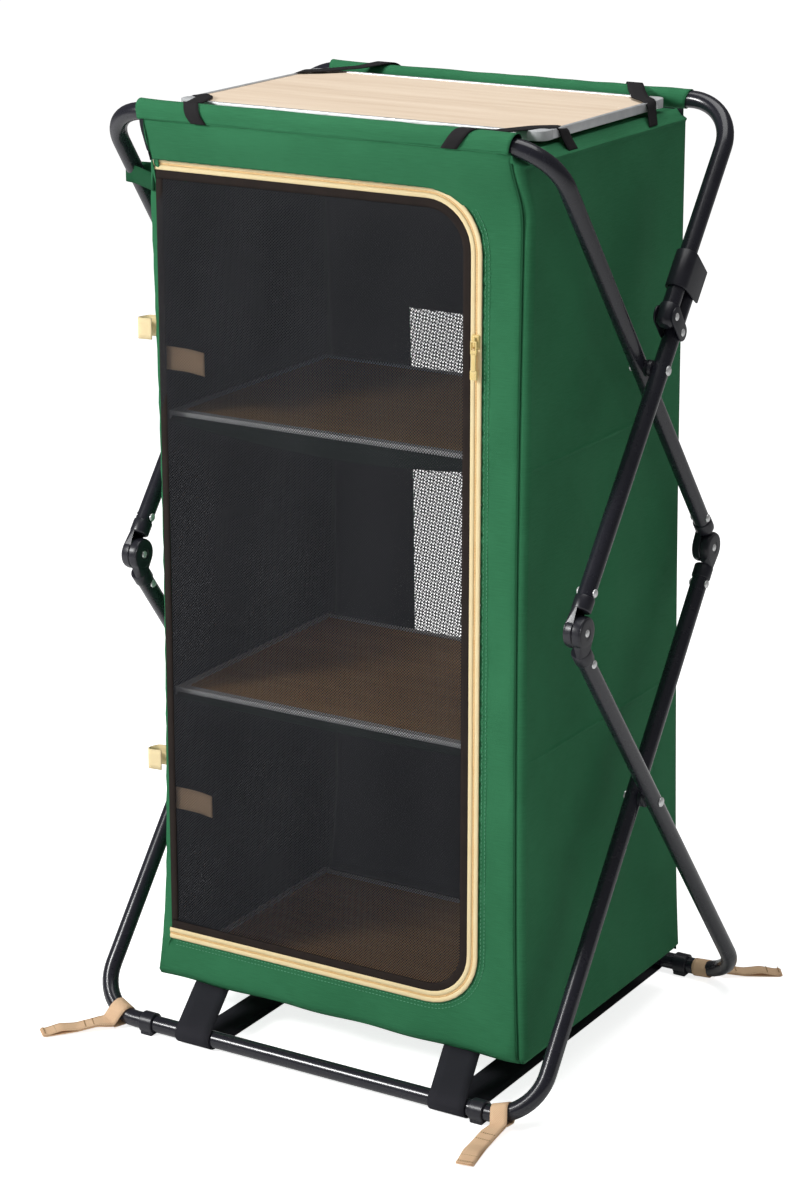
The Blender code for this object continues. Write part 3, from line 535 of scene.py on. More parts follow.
def turned(place, direction, profile, sides=32, bm=None):
    """A shape turned about a line. profile lists steps along it, each with its radius."""
    bm = bm or bmesh.new()
    rim = [bm.verts.new((max(radius, 0.0), 0.0, along)) for along, radius in profile]
    edges = [bm.edges.new(pair) for pair in zip(rim, rim[1:])]
    bmesh.ops.spin(bm, geom=rim + edges, cent=(0, 0, 0), axis=(0, 0, 1), angle=2 * math.pi,
                   steps=sides, use_merge=True)
    verts = {vert for edge in edges if edge.is_valid for vert in edge.verts}
    grown = set(verts)
    while verts:
        verts = {edge.other_vert(vert) for vert in verts for edge in vert.link_edges} - grown
        grown |= verts
    bmesh.ops.transform(bm, matrix=Matrix.Translation(place) @ facing(direction), verts=list(grown))
    return bm


def dome(place, direction, radius, height, bm=None, foot=0.0006, sides=24):
    """A rivet head that stands on a surface."""
    steps = [(-foot, 0.0), (-foot, radius * 0.96), (0.0, radius)]
    for step in range(1, 6):
        turn = math.pi / 2 * step / 5
        steps.append((height * math.sin(turn), radius * math.cos(turn)))
    return turned(place, direction, steps, sides, bm)


def bar(low, high, bm=None, round_by=0.0, segments=3):
    """A block between two corners, its edges rounded."""
    bm = bm or bmesh.new()
    low, high = Vector(low), Vector(high)
    size = high - low
    place = Matrix.Translation((low + high) / 2) @ Matrix.Diagonal((*size, 1.0))
    made = bmesh.ops.create_cube(bm, size=1.0, matrix=place)["verts"]
    if round_by:
        soften(bm, list({edge for vert in made for edge in vert.link_edges}), round_by, segments)
    return bm


def side_x(side, shift):
    """X of a side's tubes, from the middle of the bow they belong to."""
    return shift + side * HALF_FRAME


front_x, back_x = -STAGGER / 2, STAGGER / 2


def bow(name, node, shift, rail, along, reach, body, splay=0.0, lean_in=0.0):
    """One bent tube: leg, rail, leg."""
    out = splay - (LEAN * (reach - BEND) if splay else 0.0)
    left, right = shift - HALF_FRAME, shift + HALF_FRAME
    points = [Vector((left - out, 0, 0)) + rail + along * reach,
              Vector((left - splay + lean_in, 0, 0)) + rail,
              Vector((right + splay, 0, 0)) + rail,
              Vector((right + out, 0, 0)) + rail + along * reach]
    if lean_in:
        points.insert(1, Vector((left, 0, 0)) + rail + along * UPPER_RUN)
    return new_piece(name, clean(pipe(points, TUBE)), powder_coat, body, (node,))


def make_tubes():
    """The four bows, the two struts and the cups that end the upper back bow."""
    upper = UPPER_RUN + CROSS_RUN - TUBE_END
    lower = LOWER_RUN + CROSS_RUN - TUBE_END
    bow("tube_front_upper", "front_upper_bow", front_x, FRONT_RAIL, -UP_FRONT, upper,
        "upper_frame_front", lean_in=LEG_LEAN_IN)
    bow("tube_front_lower", "front_lower_bow", front_x, FRONT_FOOT, UP_BACK, lower, "lower_frame_front",
        SPLAY)
    bow("tube_back_lower", "back_lower_bow", back_x, BACK_FOOT, UP_FRONT, lower, "lower_frame_back",
        SPLAY)
    run = (BACK_RAIL - HINGE).length
    bow("tube_back_upper", "back_upper_bow", back_x, BACK_RAIL, -UP_BACK, run + 0.006,
        "upper_frame_back")
    for side, word in ((-1, "left"), (1, "right")):
        x = Vector((side_x(side, back_x), 0, 0))
        points = [x + HIGH_CROSS - UP_BACK * (CROSS_RUN - TUBE_END), x + HIGH_CROSS + UP_BACK * 0.104]
        new_piece("tube_strut_" + word, clean(pipe(points, TUBE)), powder_coat, "struts",
                  ("back_strut_" + word,))
        foot = x + HINGE - UP_BACK * 0.006
        steps = [(-0.006, 0.0), (-0.0055, 0.006), (-0.003, 0.0090), (0.0, 0.0101), (0.016, 0.0104),
                 (0.0172, 0.0100), (0.0172, 0.0085)]
        new_piece("tube_cup_" + word, clean(turned(foot, UP_BACK, steps)), moulded_black,
                  "upper_frame_back")


def knee(name, side, shift, place, along, outward, inner, pinned, body, lean=0.0):
    """Half a knee: a flat disc with a rounded rim, a throat and a collar that takes the tube."""
    middle = Vector((side_x(side, shift), 0, 0)) + place
    face = Vector((inner, 0, 0))
    rim, thick, hub = 0.0165, TUBE + 0.0008, 0.0062
    steps = [(0.00015, 0.0), (0.00015, rim - 0.0008), (0.0009, rim), (thick - 0.0030, rim),
             (thick - 0.0013, rim - 0.0006), (thick - 0.0003, rim - 0.0019), (thick, rim - 0.0036),
             (thick, hub + 0.0005), (thick - 0.0006, hub), (thick - 0.0006, 0.0)]
    bm = turned(middle, face, steps, 44)
    route = (along + Vector((lean, 0, 0))).normalized()
    foot = middle + outward * KNEE_OFF
    collar = TUBE + 0.0012
    steps = [(0.0182, 0.0), (0.0182, collar - 0.0012), (0.0190, collar - 0.0003), (0.0200, collar),
             (0.0315, collar), (0.0325, collar - 0.0003), (0.0330, collar - 0.0010),
             (0.0330, TUBE - 0.0010)]
    turned(foot, route, steps, 36, bm)
    # The throat fills from the disc to the collar, on the disc's half of the width.
    throat = bmesh.new()
    for x in (0.0004, thick - 0.0006):
        bmesh.ops.create_circle(throat, cap_ends=True, segments=40, radius=rim - 0.0010,
                                matrix=Matrix.Translation(middle + face * x) @ facing(face))
    bmesh.ops.create_circle(throat, cap_ends=True, segments=40, radius=collar - 0.0006,
                            matrix=Matrix.Translation(foot + route * 0.0192) @ facing(route))
    wrap(throat)
    cut = [*throat.verts, *throat.edges, *throat.faces]
    made = bmesh.ops.bisect_plane(throat, geom=cut, plane_co=middle + face * 0.0004, plane_no=-face,
                                  clear_outer=True)
    bmesh.ops.holes_fill(throat, edges=only(bmesh.types.BMEdge, made["geom_cut"]))
    absorb(bm, throat)
    piece = new_piece("knee_" + name, clean(bm), moulded_black, body, (name,), 28.0)
    pins = bmesh.new()
    tube_pin = foot + route * 0.0385
    for way in (-1, 1):
        dome(tube_pin + Vector((way * TUBE * 0.97, 0, 0)), Vector((way, 0, 0)), 0.0044, 0.0021, pins)
    new_piece("rivets_" + name, clean(pins), rivet_alloy, body)
    if pinned:
        pins = dome(middle + face * (thick - 0.0006), face, 0.0040, 0.0016)
        dome(middle - face * (TUBE + 0.0003), -face, 0.0050, 0.0016, pins)
        new_piece("pivot_" + name, clean(pins), rivet_alloy, body)
    return piece


def make_knees():
    """Two halves for each knee: upper ones on the inside, lower ones outside with the rivet."""
    for side, word in ((-1, "left"), (1, "right")):
        out = yz(-math.cos(TILT), math.sin(TILT))
        knee("front_knee_upper_" + word, side, back_x, FRONT_KNEE, UP_BACK, out, -1, False, "struts")
        out = yz(-math.cos(TILT), -math.sin(TILT))
        knee("front_knee_lower_" + word, side, back_x, FRONT_KNEE, -UP_FRONT, out, 1, True,
             "lower_frame_back", side * LEAN)
        out = yz(math.cos(TILT), math.sin(TILT))
        knee("back_knee_upper_" + word, side, front_x, BACK_KNEE, UP_FRONT, out, -1, False,
             "upper_frame_front")
        out = yz(math.cos(TILT), -math.sin(TILT))
        knee("back_knee_lower_" + word, side, front_x, BACK_KNEE, -UP_BACK, out, 1, True,
             "lower_frame_front", side * LEAN)


def make_crossings():
    """A domed rivet and a black bush where two tubes cross."""
    places = (("upper", HIGH_CROSS, 0.0, "upper_frame_front"),
              ("lower", LOW_CROSS, LEAN * CROSS_RUN, "lower_frame_front"))
    for level, place, out, body in places:
        for side, word in ((-1, "left"), (1, "right")):
            middle = place + Vector((side * (HALF_FRAME + out), 0, 0))
            face = STAGGER / 2 + TUBE - 0.0002
            pins = bmesh.new()
            for way in (-1, 1):
                dome(middle + Vector((way * face, 0, 0)), Vector((way, 0, 0)), 0.0052, 0.0022, pins)
            name = "cross_pin_" + level + "_" + word
            new_piece("rivet_" + name, clean(pins), rivet_alloy, body, (name,))
            gap = STAGGER / 2 - TUBE + 0.0022
            steps = [(-gap, 0.0), (-gap, 0.0072), (-gap + 0.0010, 0.0086), (-0.0012, 0.0090),
                     (-0.0006, 0.0080), (0.0006, 0.0080), (0.0012, 0.0090), (gap - 0.0010, 0.0086),
                     (gap, 0.0072), (gap, 0.0)]
            new_piece("bush_" + level + "_" + word, clean(turned(middle, Vector((1, 0, 0)), steps)),
                      moulded_black, body)


def plate(x, ends, radii, thick, bm, sides=28):
    """A flat link with a round end over each pin."""
    part = bmesh.new()
    for shift in (x - thick / 2, x + thick / 2):
        for end, radius in zip(ends, radii):
            spot = Matrix.Translation(Vector((shift, 0, 0)) + end) @ facing(Vector((1, 0, 0)))
            bmesh.ops.create_circle(part, cap_ends=False, segments=sides, radius=radius, matrix=spot)
    wrap(part)
    bmesh.ops.dissolve_limit(part, angle_limit=math.radians(1.0), verts=part.verts, edges=part.edges)
    soften(part, corners(part), 0.0004, 2)
    absorb(bm, part)


def make_clamps():
    """The two riveted plates that hinge the upper back tube on the strut."""
    low = HIGH_CROSS + UP_BACK * 0.043
    for side, word in ((-1, "left"), (1, "right")):
        x = side_x(side, back_x)
        bm = bmesh.new()
        for way in (-1, 1):
            plate(x + way * (TUBE + 0.0011), (low, HINGE), (0.0090, 0.0098), 0.0016, bm)
        pins = bmesh.new()
        for place in (low, HINGE):
            for way in (-1, 1):
                spot = place + Vector((x + way * (TUBE + 0.0018), 0, 0))
                dome(spot, Vector((way, 0, 0)), 0.0040, 0.0014, pins)
        new_piece("clamp_" + word, clean(bm), moulded_black, "struts",
                  ("hinge_clamp_" + word,))
        new_piece("clamp_rivets_" + word, clean(pins), rivet_alloy, "struts")


def make_locks():
    """Sliding locks: a rounded body round the tube, two cheeks and a closed head."""
    for side, word in ((-1, "left"), (1, "right")):
        low = Vector((side_x(side, back_x), 0, 0)) + HINGE + UP_BACK * 0.030
        long, bore, wall, reach = 0.040, TUBE + 0.0004, 0.0024, 0.031
        turn = Matrix((Vector((1, 0, 0)), -ACROSS, UP_BACK)).transposed().to_4x4()
        place = Matrix.Translation(low) @ turn
        bm = bmesh.new()
        start = [bm.verts.new((-bore, reach, 0.0)), bm.verts.new((-bore, 0.0, 0.0))]
        bm.edges.new(start)
        made = bmesh.ops.spin(bm, geom=[start[1]], cent=(0, 0, 0), axis=(0, 0, 1), angle=math.pi,
                              steps=20)
        last = only(bmesh.types.BMVert, made["geom_last"])[0]
        end = bm.verts.new((bore, reach, 0.0))
        bm.edges.new((last, end))
        result = bmesh.ops.extrude_edge_only(bm, edges=bm.edges[:])["geom"]
        tops = only(bmesh.types.BMVert, result)
        bmesh.ops.translate(bm, vec=(0, 0, long), verts=tops)
        for vert in bm.verts:
            share = max(0.0, vert.co.y) / reach
            vert.co.z -= 0.0035 * share * (1.0 if vert.co.z > long / 2 else -0.35)
        bmesh.ops.recalc_face_normals(bm, faces=bm.faces)
        middle = Vector((0, 0, long / 2))
        sample = max(bm.faces, key=lambda face: -face.calc_center_median().y)
        if sample.normal.dot(sample.calc_center_median() - middle) < 0:
            bmesh.ops.reverse_faces(bm, faces=bm.faces)
        bmesh.ops.solidify(bm, geom=bm.faces[:], thickness=-wall)
        bar((-bore, TUBE * 0.5, long - 0.012), (bore, reach - 0.0008, long - 0.0022), bm)
        bar((-bore, TUBE + 0.0006, long - 0.0118), (bore, TUBE + 0.0030, 0.004), bm)
        clean(bm)
        soften(bm, corners(bm, 50.0), 0.0006)
        bmesh.ops.transform(bm, matrix=place, verts=bm.verts)
        new_piece("lock_" + word, clean(bm), moulded_black, "lock_" + word,
                  ("sliding_lock_" + word,))


def make_clips():
    """Foot clips: a saddle round the rail on a ribbed sole."""
    rows = (("front", front_x, FRONT_FOOT, "cabinet"), ("back", back_x, BACK_FOOT, "back_feet"))
    for row, shift, rail, body in rows:
        for side, word in ((-1, "left"), (1, "right")):
            away = 0.2083 if row == "front" and side > 0 else 0.199
            middle = Vector((shift + side * away, 0, 0)) + rail
            ring = TUBE + 0.0026
            steps = [(-0.0078, TUBE - 0.0002), (-0.0078, ring - 0.0008), (-0.0070, ring),
                     (0.0070, ring), (0.0078, ring - 0.0008), (0.0078, TUBE - 0.0002)]
            bm = turned(middle, Vector((1, 0, 0)), steps, 36)
            bar(middle + Vector((-0.0074, -0.0086, -middle.z)),
                middle + Vector((0.0074, 0.0086, -0.006)), bm, 0.0014)
            for step in range(4):
                x = -0.0052 + 0.0035 * step
                bar(middle + Vector((x - 0.0007, -0.0090, -middle.z + 0.0012)),
                    middle + Vector((x + 0.0007, 0.0090, -0.0075)), bm, 0.0003, 1)
            name = "foot_clip_" + row + "_" + word
            new_piece("clip_" + row + "_" + word, clean(bm), moulded_black, body,
                      (name,))


# ---------------------------------------------------------------- cloth

def share_up(z):
    """A height as a share of the cloth's height."""
    return (z - LOW) / (TOP - LOW)


def back_y(z):
    """Where the back wall lies: it leans forward towards the top."""
    return 0.178 + (0.150 - 0.178) * share_up(z)


def slack(z):
    """How far cloth sinks in between two seams, 0 at a seam and 1 midway."""
    for low, high in zip(SEAMS[::2], SEAMS[1::2]):
        if low <= z <= high:
            return math.sin(math.pi * (z - low) / (high - low))
    return 0.0


def wall_x(side, z):
    """Where a side wall lies: drawn in at the waist and wider at the foot."""
    waist = 0.008 if side < 0 else 0.004
    swell = 0.010 if side < 0 else 0.003
    foot = max(0.0, 1.0 - (z - LOW) / 0.16)
    return side * (HALF_WIDTH - waist * math.sin(math.pi * share_up(z)) + swell * foot * foot)


def ripple(x, z, size, seed):
    """Smooth uneven waves over a panel."""
    return noise.noise(Vector((x * size, z * size, seed)))


def smooth(value):
    """Eases from 0 to 1."""
    value = min(1.0, max(0.0, value))
    return value * value * (3 - 2 * value)


def grid(name, columns, rows, place, material, body, replaces=(), thick=CLOTH, offset=-1.0,
         inner=None, sharp=50.0, flat=None, flip=False, merge=False):
    """A sheet of cloth: place() puts each point of a grid; its map is in metres of cloth.

    columns and rows are counts, or lists of shares from 0 to 1.
    """
    across = columns if isinstance(columns, list) else [i / columns for i in range(columns + 1)]
    up = rows if isinstance(rows, list) else [i / rows for i in range(rows + 1)]
    bm = bmesh.new()
    layer = bm.loops.layers.uv.new("UVMap")
    bmesh.ops.create_grid(bm, x_segments=len(across) - 1, y_segments=len(up) - 1, size=0.5)
    where = {}
    for vert in bm.verts:
        u = across[round((vert.co.x + 0.5) * (len(across) - 1))]
        v = up[round((vert.co.y + 0.5) * (len(up) - 1))]
        where[vert] = (u, v)
    for vert, (u, v) in where.items():
        vert.co = place(u, v)
    lengths = run_lengths(place, across, up) if flat is None else flat
    for face in bm.faces:
        for loop in face.loops:
            u, v = where[loop.vert]
            loop[layer].uv = (u * lengths[0], v * lengths[1])
    if merge:
        bmesh.ops.remove_doubles(bm, verts=bm.verts, dist=1e-6)
    if flip:
        bmesh.ops.reverse_faces(bm, faces=bm.faces[:])
    piece = new_piece(name, bm, material, body, replaces, sharp, inner)
    if thick:
        wall = piece.modifiers.new("cloth", "SOLIDIFY")
        wall.thickness = thick
        wall.offset = offset
        if inner:
            wall.material_offset = 1
            wall.material_offset_rim = 0
    return piece


def run_lengths(place, across, up):
    """How wide and long the sheet lies, measured along its middle lines."""
    wide = [Vector(place(u, 0.5)) for u in across]
    tall = [Vector(place(0.5, v)) for v in up]
    return (sum((b - a).length for a, b in zip(wide, wide[1:])),
            sum((b - a).length for a, b in zip(tall, tall[1:])))


def front_face(z):
    """Where the front lies: it leans out to the rail's seam near its top."""
    return FRONT - 0.0268 * smooth((z - 0.915) / 0.068)


def left_tuck(z):
    """How far the front's left edge draws in below the rail."""
    return 0.0150 * smooth((z - 0.900) / 0.080)


def panel_relief(x, z, seed):
    """Soft folds of a hanging panel."""
    return (0.0010 * ripple(x, z * 0.35, 22.0, seed) + 0.0007 * ripple(x, z, 9.0, seed + 5.0))


def make_sides():
    """Side walls: they start on the front face at a seam, turn the corner and run to the back."""
    for side, word in ((-1, "left"), (1, "right")):
        def place(u, v, side=side):
            z = LOW + (TOP - LOW) * v
            edge = wall_x(side, z) + side * 0.0012
            front, back = front_face(z) + 0.0010, back_y(z) + 0.0004
            turn = 0.0085
            lead, arc = 0.0010, turn * math.pi / 2
            length = lead + arc + (back - front - turn)
            at = u * length
            if side < 0:
                edge += left_tuck(z) * (1 - u) ** 3
            under = smooth(1.0 - (z - LOW) / 0.007) * 0.005
            tuck = 0.0095 * smooth((z - HEM) / 0.009)
            if at < lead:
                return Vector((edge - side * (turn + lead - at + tuck), front + under, z))
            if at < lead + arc:
                angle = (at - lead) / turn
                inward = turn - turn * math.sin(angle) + (under + tuck) * math.sin(angle)
                return Vector((edge - side * inward, front + turn - (turn - under) * math.cos(angle), z))
            y = front + turn + at - lead - arc
            share = (y - front) / (back - front)
            loose = math.sin(math.pi * min(1.0, share * 1.02)) ** 0.6
            free = slack(z)
            fold = math.sin(5.2 * math.pi * share + 1.6 * math.sin(6.0 * z) + side)
            sag = 0.0052 * loose * free * (0.62 + 0.38 * fold)
            near_seam = min(abs(z - seam) for seam in SHELF_SEAMS)
            drag = 0.0018 * math.exp(-near_seam / 0.050) * math.sin(34 * share + 3 * side)
            x = edge - side * (sag + under + tuck)
            x += side * loose * free * (panel_relief(y, z, 3.0 + side) * 1.5 + drag)
            x += side * 0.0014 * math.exp(-((near_seam) / 0.0016) ** 2) * loose
            x += side * 0.0016 * math.exp(-((z - HEM) / 0.0016) ** 2)
            return Vector((x, y, z))
        rows = cloth_rows()
        columns = [0.0, 0.002, 0.008, 0.015, 0.022, 0.029, 0.036, 0.043]
        columns += [0.043 + (1 - 0.043) * (i + 1) / 74 for i in range(74)]
        piece = grid("side_cloth_" + word, columns, rows, place, green_cloth, "cabinet",
                     ("side_wall_" + word,), inner=inside_painted_shade, flip=side < 0)
        sink(piece)


def cloth_rows():
    """Heights of the cloth's rows as shares, closer at the seams and hems."""
    rows = [i / 110 for i in range(111)]
    extra = []
    for seam in (*SHELF_SEAMS, HEM):
        extra += [share_up(seam + step)
                  for step in (-0.004, -0.0022, -0.001, 0.0, 0.001, 0.0022, 0.004)]
    extra += [share_up(LOW + step) for step in (0.0015, 0.003, 0.0045, 0.0065)]
    return sorted(set(rows + extra))


def door_walk(offset=0.0, left=DOOR_LEFT, steps=10):
    """Points and outward directions along the door's zip: top, right and bottom."""
    low, high, right = DOOR_LOW, DOOR_TOP, DOOR_RIGHT
    out = []
    count = 60
    for i in range(count + 1):
        x = left + (right - DOOR_CORNER - left) * i / count
        out.append((Vector((x, 0, high)), yz(0, 1)))
    for i in range(1, steps + 1):
        turn = math.pi / 2 - math.pi / 2 * i / steps
        way = Vector((math.cos(turn), 0, math.sin(turn)))
        out.append((Vector((right - DOOR_CORNER, 0, high - DOOR_CORNER)) + way * DOOR_CORNER, way))
    count = 120
    for i in range(1, count + 1):
        z = high - DOOR_CORNER + (low - high + 2 * DOOR_CORNER) * i / count
        out.append((Vector((right, 0, z)), Vector((1, 0, 0))))
    for i in range(1, steps + 1):
        turn = -math.pi / 2 * i / steps
        way = Vector((math.cos(turn), 0, math.sin(turn)))
        out.append((Vector((right - DOOR_CORNER, 0, low + DOOR_CORNER)) + way * DOOR_CORNER, way))
    count = 60
    for i in range(1, count + 1):
        x = right - DOOR_CORNER + (left - right + DOOR_CORNER) * i / count
        out.append((Vector((x, 0, low)), yz(0, -1)))
    return [(point + way * offset, way) for point, way in out]


def front_sway(x, z):
    """How far the front of the cabinet bellies out or in, towards the door."""
    return -(0.0012 * ripple(x, z, 5.0, 11.0) + 0.0006)


def make_front():
    """The front panel: a ring of cloth round the door opening, gathered a little along the zip."""
    def right_seam(z):
        return wall_x(1, z) - 0.0086

    def left_seam(z):
        return wall_x(-1, z) + 0.0002 + left_tuck(z)

    inner = door_walk(BESIDE_ZIP)
    # The inner line closes up the left side, where the door hangs.
    rise = DOOR_TOP - DOOR_LOW + 2 * BESIDE_ZIP
    closing = [Vector((DOOR_LEFT - 0.0008, 0, DOOR_LOW - BESIDE_ZIP + rise * i / 60))
               for i in range(61)]

    def outer_of(point, way):
        """Where a line from the opening meets the panel's edge."""
        if way is None:
            return Vector((left_seam(point.z), 0, point.z))
        if abs(way.x) < 0.01:
            return Vector((point.x, 0, TOP if way.z > 0 else LOW))
        if abs(way.z) < 0.01:
            return Vector((right_seam(point.z), 0, point.z))
        level = TOP if way.z > 0 else LOW
        edge = Vector((right_seam(level), 0, level))
        bias = math.atan2(abs(way.z), way.x) / (math.pi / 2)
        if bias > 0.5:
            edge.x = point.x + (edge.x - point.x) * (1 - (bias - 0.5) * 2)
        else:
            edge.z = point.z + (level - point.z) * bias * 2
            edge.x = right_seam(edge.z)
        return edge

    pairs = [(p, outer_of(p, w)) for p, w in inner]
    last, first = closing[0], closing[-1]
    left_low, left_top = left_seam(LOW), left_seam(TOP)
    pairs += [(last, Vector((last.x + (left_low - last.x) * i / 4, 0, LOW))) for i in range(1, 5)]
    for i in range(1, 8):
        z = LOW + (last.z - LOW) * i / 8
        pairs.append((last, Vector((left_seam(z), 0, z))))
    pairs += [(p, outer_of(p, None)) for p in closing]
    for i in range(1, 8):
        z = first.z + (TOP - first.z) * i / 8
        pairs.append((first, Vector((left_seam(z), 0, z))))
    pairs += [(first, Vector((left_top + (first.x - left_top) * i / 4, 0, TOP))) for i in range(4)]
    pairs.append(pairs[0])
    count = len(pairs)
    rows = [0.0, 0.05, 0.10, 0.17, 0.25, 0.33, 0.42, 0.52, 0.62, 0.72, 0.81, 0.89, 0.95, 1.0]

    def place(u, v):
        i = round(u * (count - 1))
        inside, outside = pairs[i]
        point = inside.lerp(outside, v)
        x, z = point.x, point.z
        width = (outside - inside).length
        pucker = 0.0009 * math.sin(u * 900.0) * math.exp(-v * width / 0.012)
        drag = 0.0022 * ripple(x, z, 16.0, 4.0) * min(1.0, width / 0.03)
        low = smooth(1.0 - (z - LOW) / 0.12) * 0.0016 * math.sin(x * 55.0)
        under = smooth(1.0 - (z - LOW) / 0.007) * 0.005
        y = front_face(z) + pucker + drag * math.sin(math.pi * v) + low * v - 0.0006 + under
        edge = 1.0 - smooth((right_seam(z) - x) / 0.004)
        y += 0.0016 * edge if x > 0 else 0.0
        return Vector((x, y, z + (0.0022 if z > TOP - 0.001 else 0.0)))

    columns = [i / (count - 1) for i in range(count)]
    piece = grid("front_cloth", columns, rows, place, green_cloth, "cabinet",
                 ("front_wall",), inner=inside_painted_shade, flat=(1.0, 0.05), merge=True)
    flatten_map(piece)
    heights = [LOW + 0.006 + (TOP - LOW - 0.014) * i / 60 for i in range(61)]
    route = [((right_seam(z) + 0.0004, front_face(z) - 0.0002, z), (0, -1, 0), (1, 0, 0))
             for z in heights]
    cord = strap("front_seam_right", route, 0.0022, green_tape, "cabinet",
                 thick=0.0008, count=90, cross=2, passes=1)
    sink(cord)
    sink(piece)


def flatten_map(piece):
    """A map in metres straight from the front view."""
    mesh = piece.data
    layer = mesh.uv_layers[0].data
    for loop in mesh.loops:
        spot = mesh.vertices[loop.vertex_index].co
        layer[loop.index].uv = (spot.x, spot.z)


def make_back():
    """Back wall round its window, the window's net and the band sewn round it."""
    half, low, high, edge = 0.113, 0.300, 0.739, 0.219
    inner = [Vector(spot) for spot in ((-half, 0, high), (half, 0, high), (half, 0, low), (-half, 0, low))]
    outer = [Vector(spot) for spot in ((-edge, 0, TOP), (edge, 0, TOP), (edge, 0, LOW), (-edge, 0, LOW))]
    ring = []
    for side, steps in enumerate((40, 60, 40, 60)):
        after = (side + 1) % 4
        ring += [(inner[side].lerp(inner[after], i / steps), outer[side].lerp(outer[after], i / steps))
                 for i in range(steps)]
    ring.append(ring[0])
    count = len(ring)

    def place(u, v):
        inside, outside = ring[round(u * (count - 1))]
        point = inside.lerp(outside, v)
        side = -1 if point.x < 0 else 1
        x = point.x * abs(wall_x(side, point.z)) / HALF_WIDTH
        gaps = (edge - abs(point.x), TOP - point.z, point.z - LOW)
        free = min(1.0, *(gap / 0.03 for gap in gaps))
        y = back_y(point.z) + 0.0016 * ripple(x, point.z * 0.5, 8.0, 21.0) * free - 0.0004
        return Vector((x, y, point.z))

    columns = [i / (count - 1) for i in range(count)]
    piece = grid("back_cloth", columns, 16, place, green_cloth, "cabinet",
                 ("back_wall",), inner=inside_painted_shade, flip=True, flat=(1.0, 1.0), merge=True)
    flatten_map(piece)
    sink(piece)

    def window(u, v):
        x, z = -half + 2 * half * u, low + (high - low) * v
        dip = 0.0012 * math.sin(math.pi * u) * math.sin(math.pi * v)
        return Vector((x, back_y(z) - 0.0010 - dip, z))

    piece = grid("window_net", 18, 34, window, window_net, "cabinet",
                 ("back_window_net",), thick=0.0)
    sink(piece)
    width = 0.011

    def band(u, v):
        inside, _ = ring[round(u * (count - 1))]
        beside = abs(abs(inside.x) - half) < 1e-4
        above = min(abs(inside.z - low), abs(inside.z - high)) < 1e-4
        way = Vector((math.copysign(1, inside.x) if beside else 0, 0,
                      math.copysign(1, inside.z - (low + high) / 2) if above else 0))
        spot = inside + way * (v - 0.15) * width
        return Vector((spot.x, back_y(spot.z) + 0.0008, spot.z))

    sink(grid("window_band", columns, 3, band, black_band, "cabinet", thick=0.0010,
              flat=(1.33, width)))


def make_top_and_bottom():
    """The cloth below the table and the one below the floor board."""
    def top(u, v):
        x = -0.2085 + 0.417 * u
        y = -0.186 + 0.335 * v
        dip = 0.0010 * math.sin(math.pi * u) * math.sin(math.pi * v)
        return Vector((x, y, TOP - 0.0008 - dip + 0.0012 * ripple(x, y, 9.0, 2.0)))

    piece = grid("top_cloth_sheet", 30, 24, top, green_cloth, "table", ("top_cloth",),
                 inner=inside_painted_shade)
    sink(piece)

    def bottom(u, v):
        x = -0.2245 + 0.4435 * u
        y = FRONT + 0.005 + 0.3445 * v
        belly = 0.0008 * math.sin(math.pi * u) * math.sin(math.pi * v)
        return Vector((x, y, LOW + 0.0006 - belly))

    piece = grid("bottom_cloth_sheet", 30, 24, bottom, green_cloth, "cabinet",
                 ("bottom_cloth",), inner=inside_painted_shade, flip=True)
    sink(piece)


def strip_along(name, walk, low, high, y, material, body, replaces=(), rows=3, thick=0.0012,
                crown=0.0, length=2.2):
    """A band that follows the door's edge between two offsets from it."""
    count = len(walk)

    def place(u, v):
        point, way = walk[round(u * (count - 1))]
        spot = point + way * (low + (high - low) * v)
        bulge = crown * math.sin(math.pi * v)
        return Vector((spot.x, y - bulge + front_sway(spot.x, spot.z) * 0.3, spot.z))

    columns = [i / (count - 1) for i in range(count)]
    return grid(name, rows, columns, lambda u, v: place(v, u), material, body, replaces,
                thick=thick, flat=(high - low, length))


def make_zip():
    """Zip tape in two halves with a coil between, the net door, its binding, slider and pull."""
    walk = door_walk(left=DOOR_LEFT - 0.0025)
    y = FRONT - 0.0012
    piece = strip_along("zip_tape_outer", walk, 0.0068, 0.0112, y, cream_tape, "cabinet",
                        ("zip_tape",), crown=0.0005)
    sink(piece)
    sink(strip_along("zip_tape_inner", walk, -0.0004, 0.0040, y, cream_tape, "cabinet",
                     crown=0.0005))
    sink(strip_along("zip_tape_middle", walk, 0.0036, 0.0072, y + 0.0003, zip_coil, "cabinet",
                     rows=2))
    # Coil: a small rounded rib every 1.5 mm between the tapes.
    bm = bmesh.new()
    ahead = 0.0
    for (a, way), (b, _) in zip(walk, walk[1:]):
        length = (b - a).length
        run = (b - a).normalized() if length else Vector((1, 0, 0))
        while ahead < length:
            spot = a + run * ahead + way * 0.0054
            spot.y = y - 0.0005 + front_sway(spot.x, spot.z) * 0.3
            turn = Matrix((way, run.cross(way), run)).transposed().to_4x4()
            size = Matrix.Diagonal((0.0016, 0.00075, 0.00048, 1.0))
            bmesh.ops.create_icosphere(bm, subdivisions=1, radius=1.0,
                                       matrix=Matrix.Translation(spot) @ turn @ size)
            ahead += 0.0015
        ahead -= length
    sink(new_piece("zip_coil_teeth", bm, cream_tape, "cabinet", sharp=80.0))
    seam_rows()
    make_door(door_walk())
    make_slider()


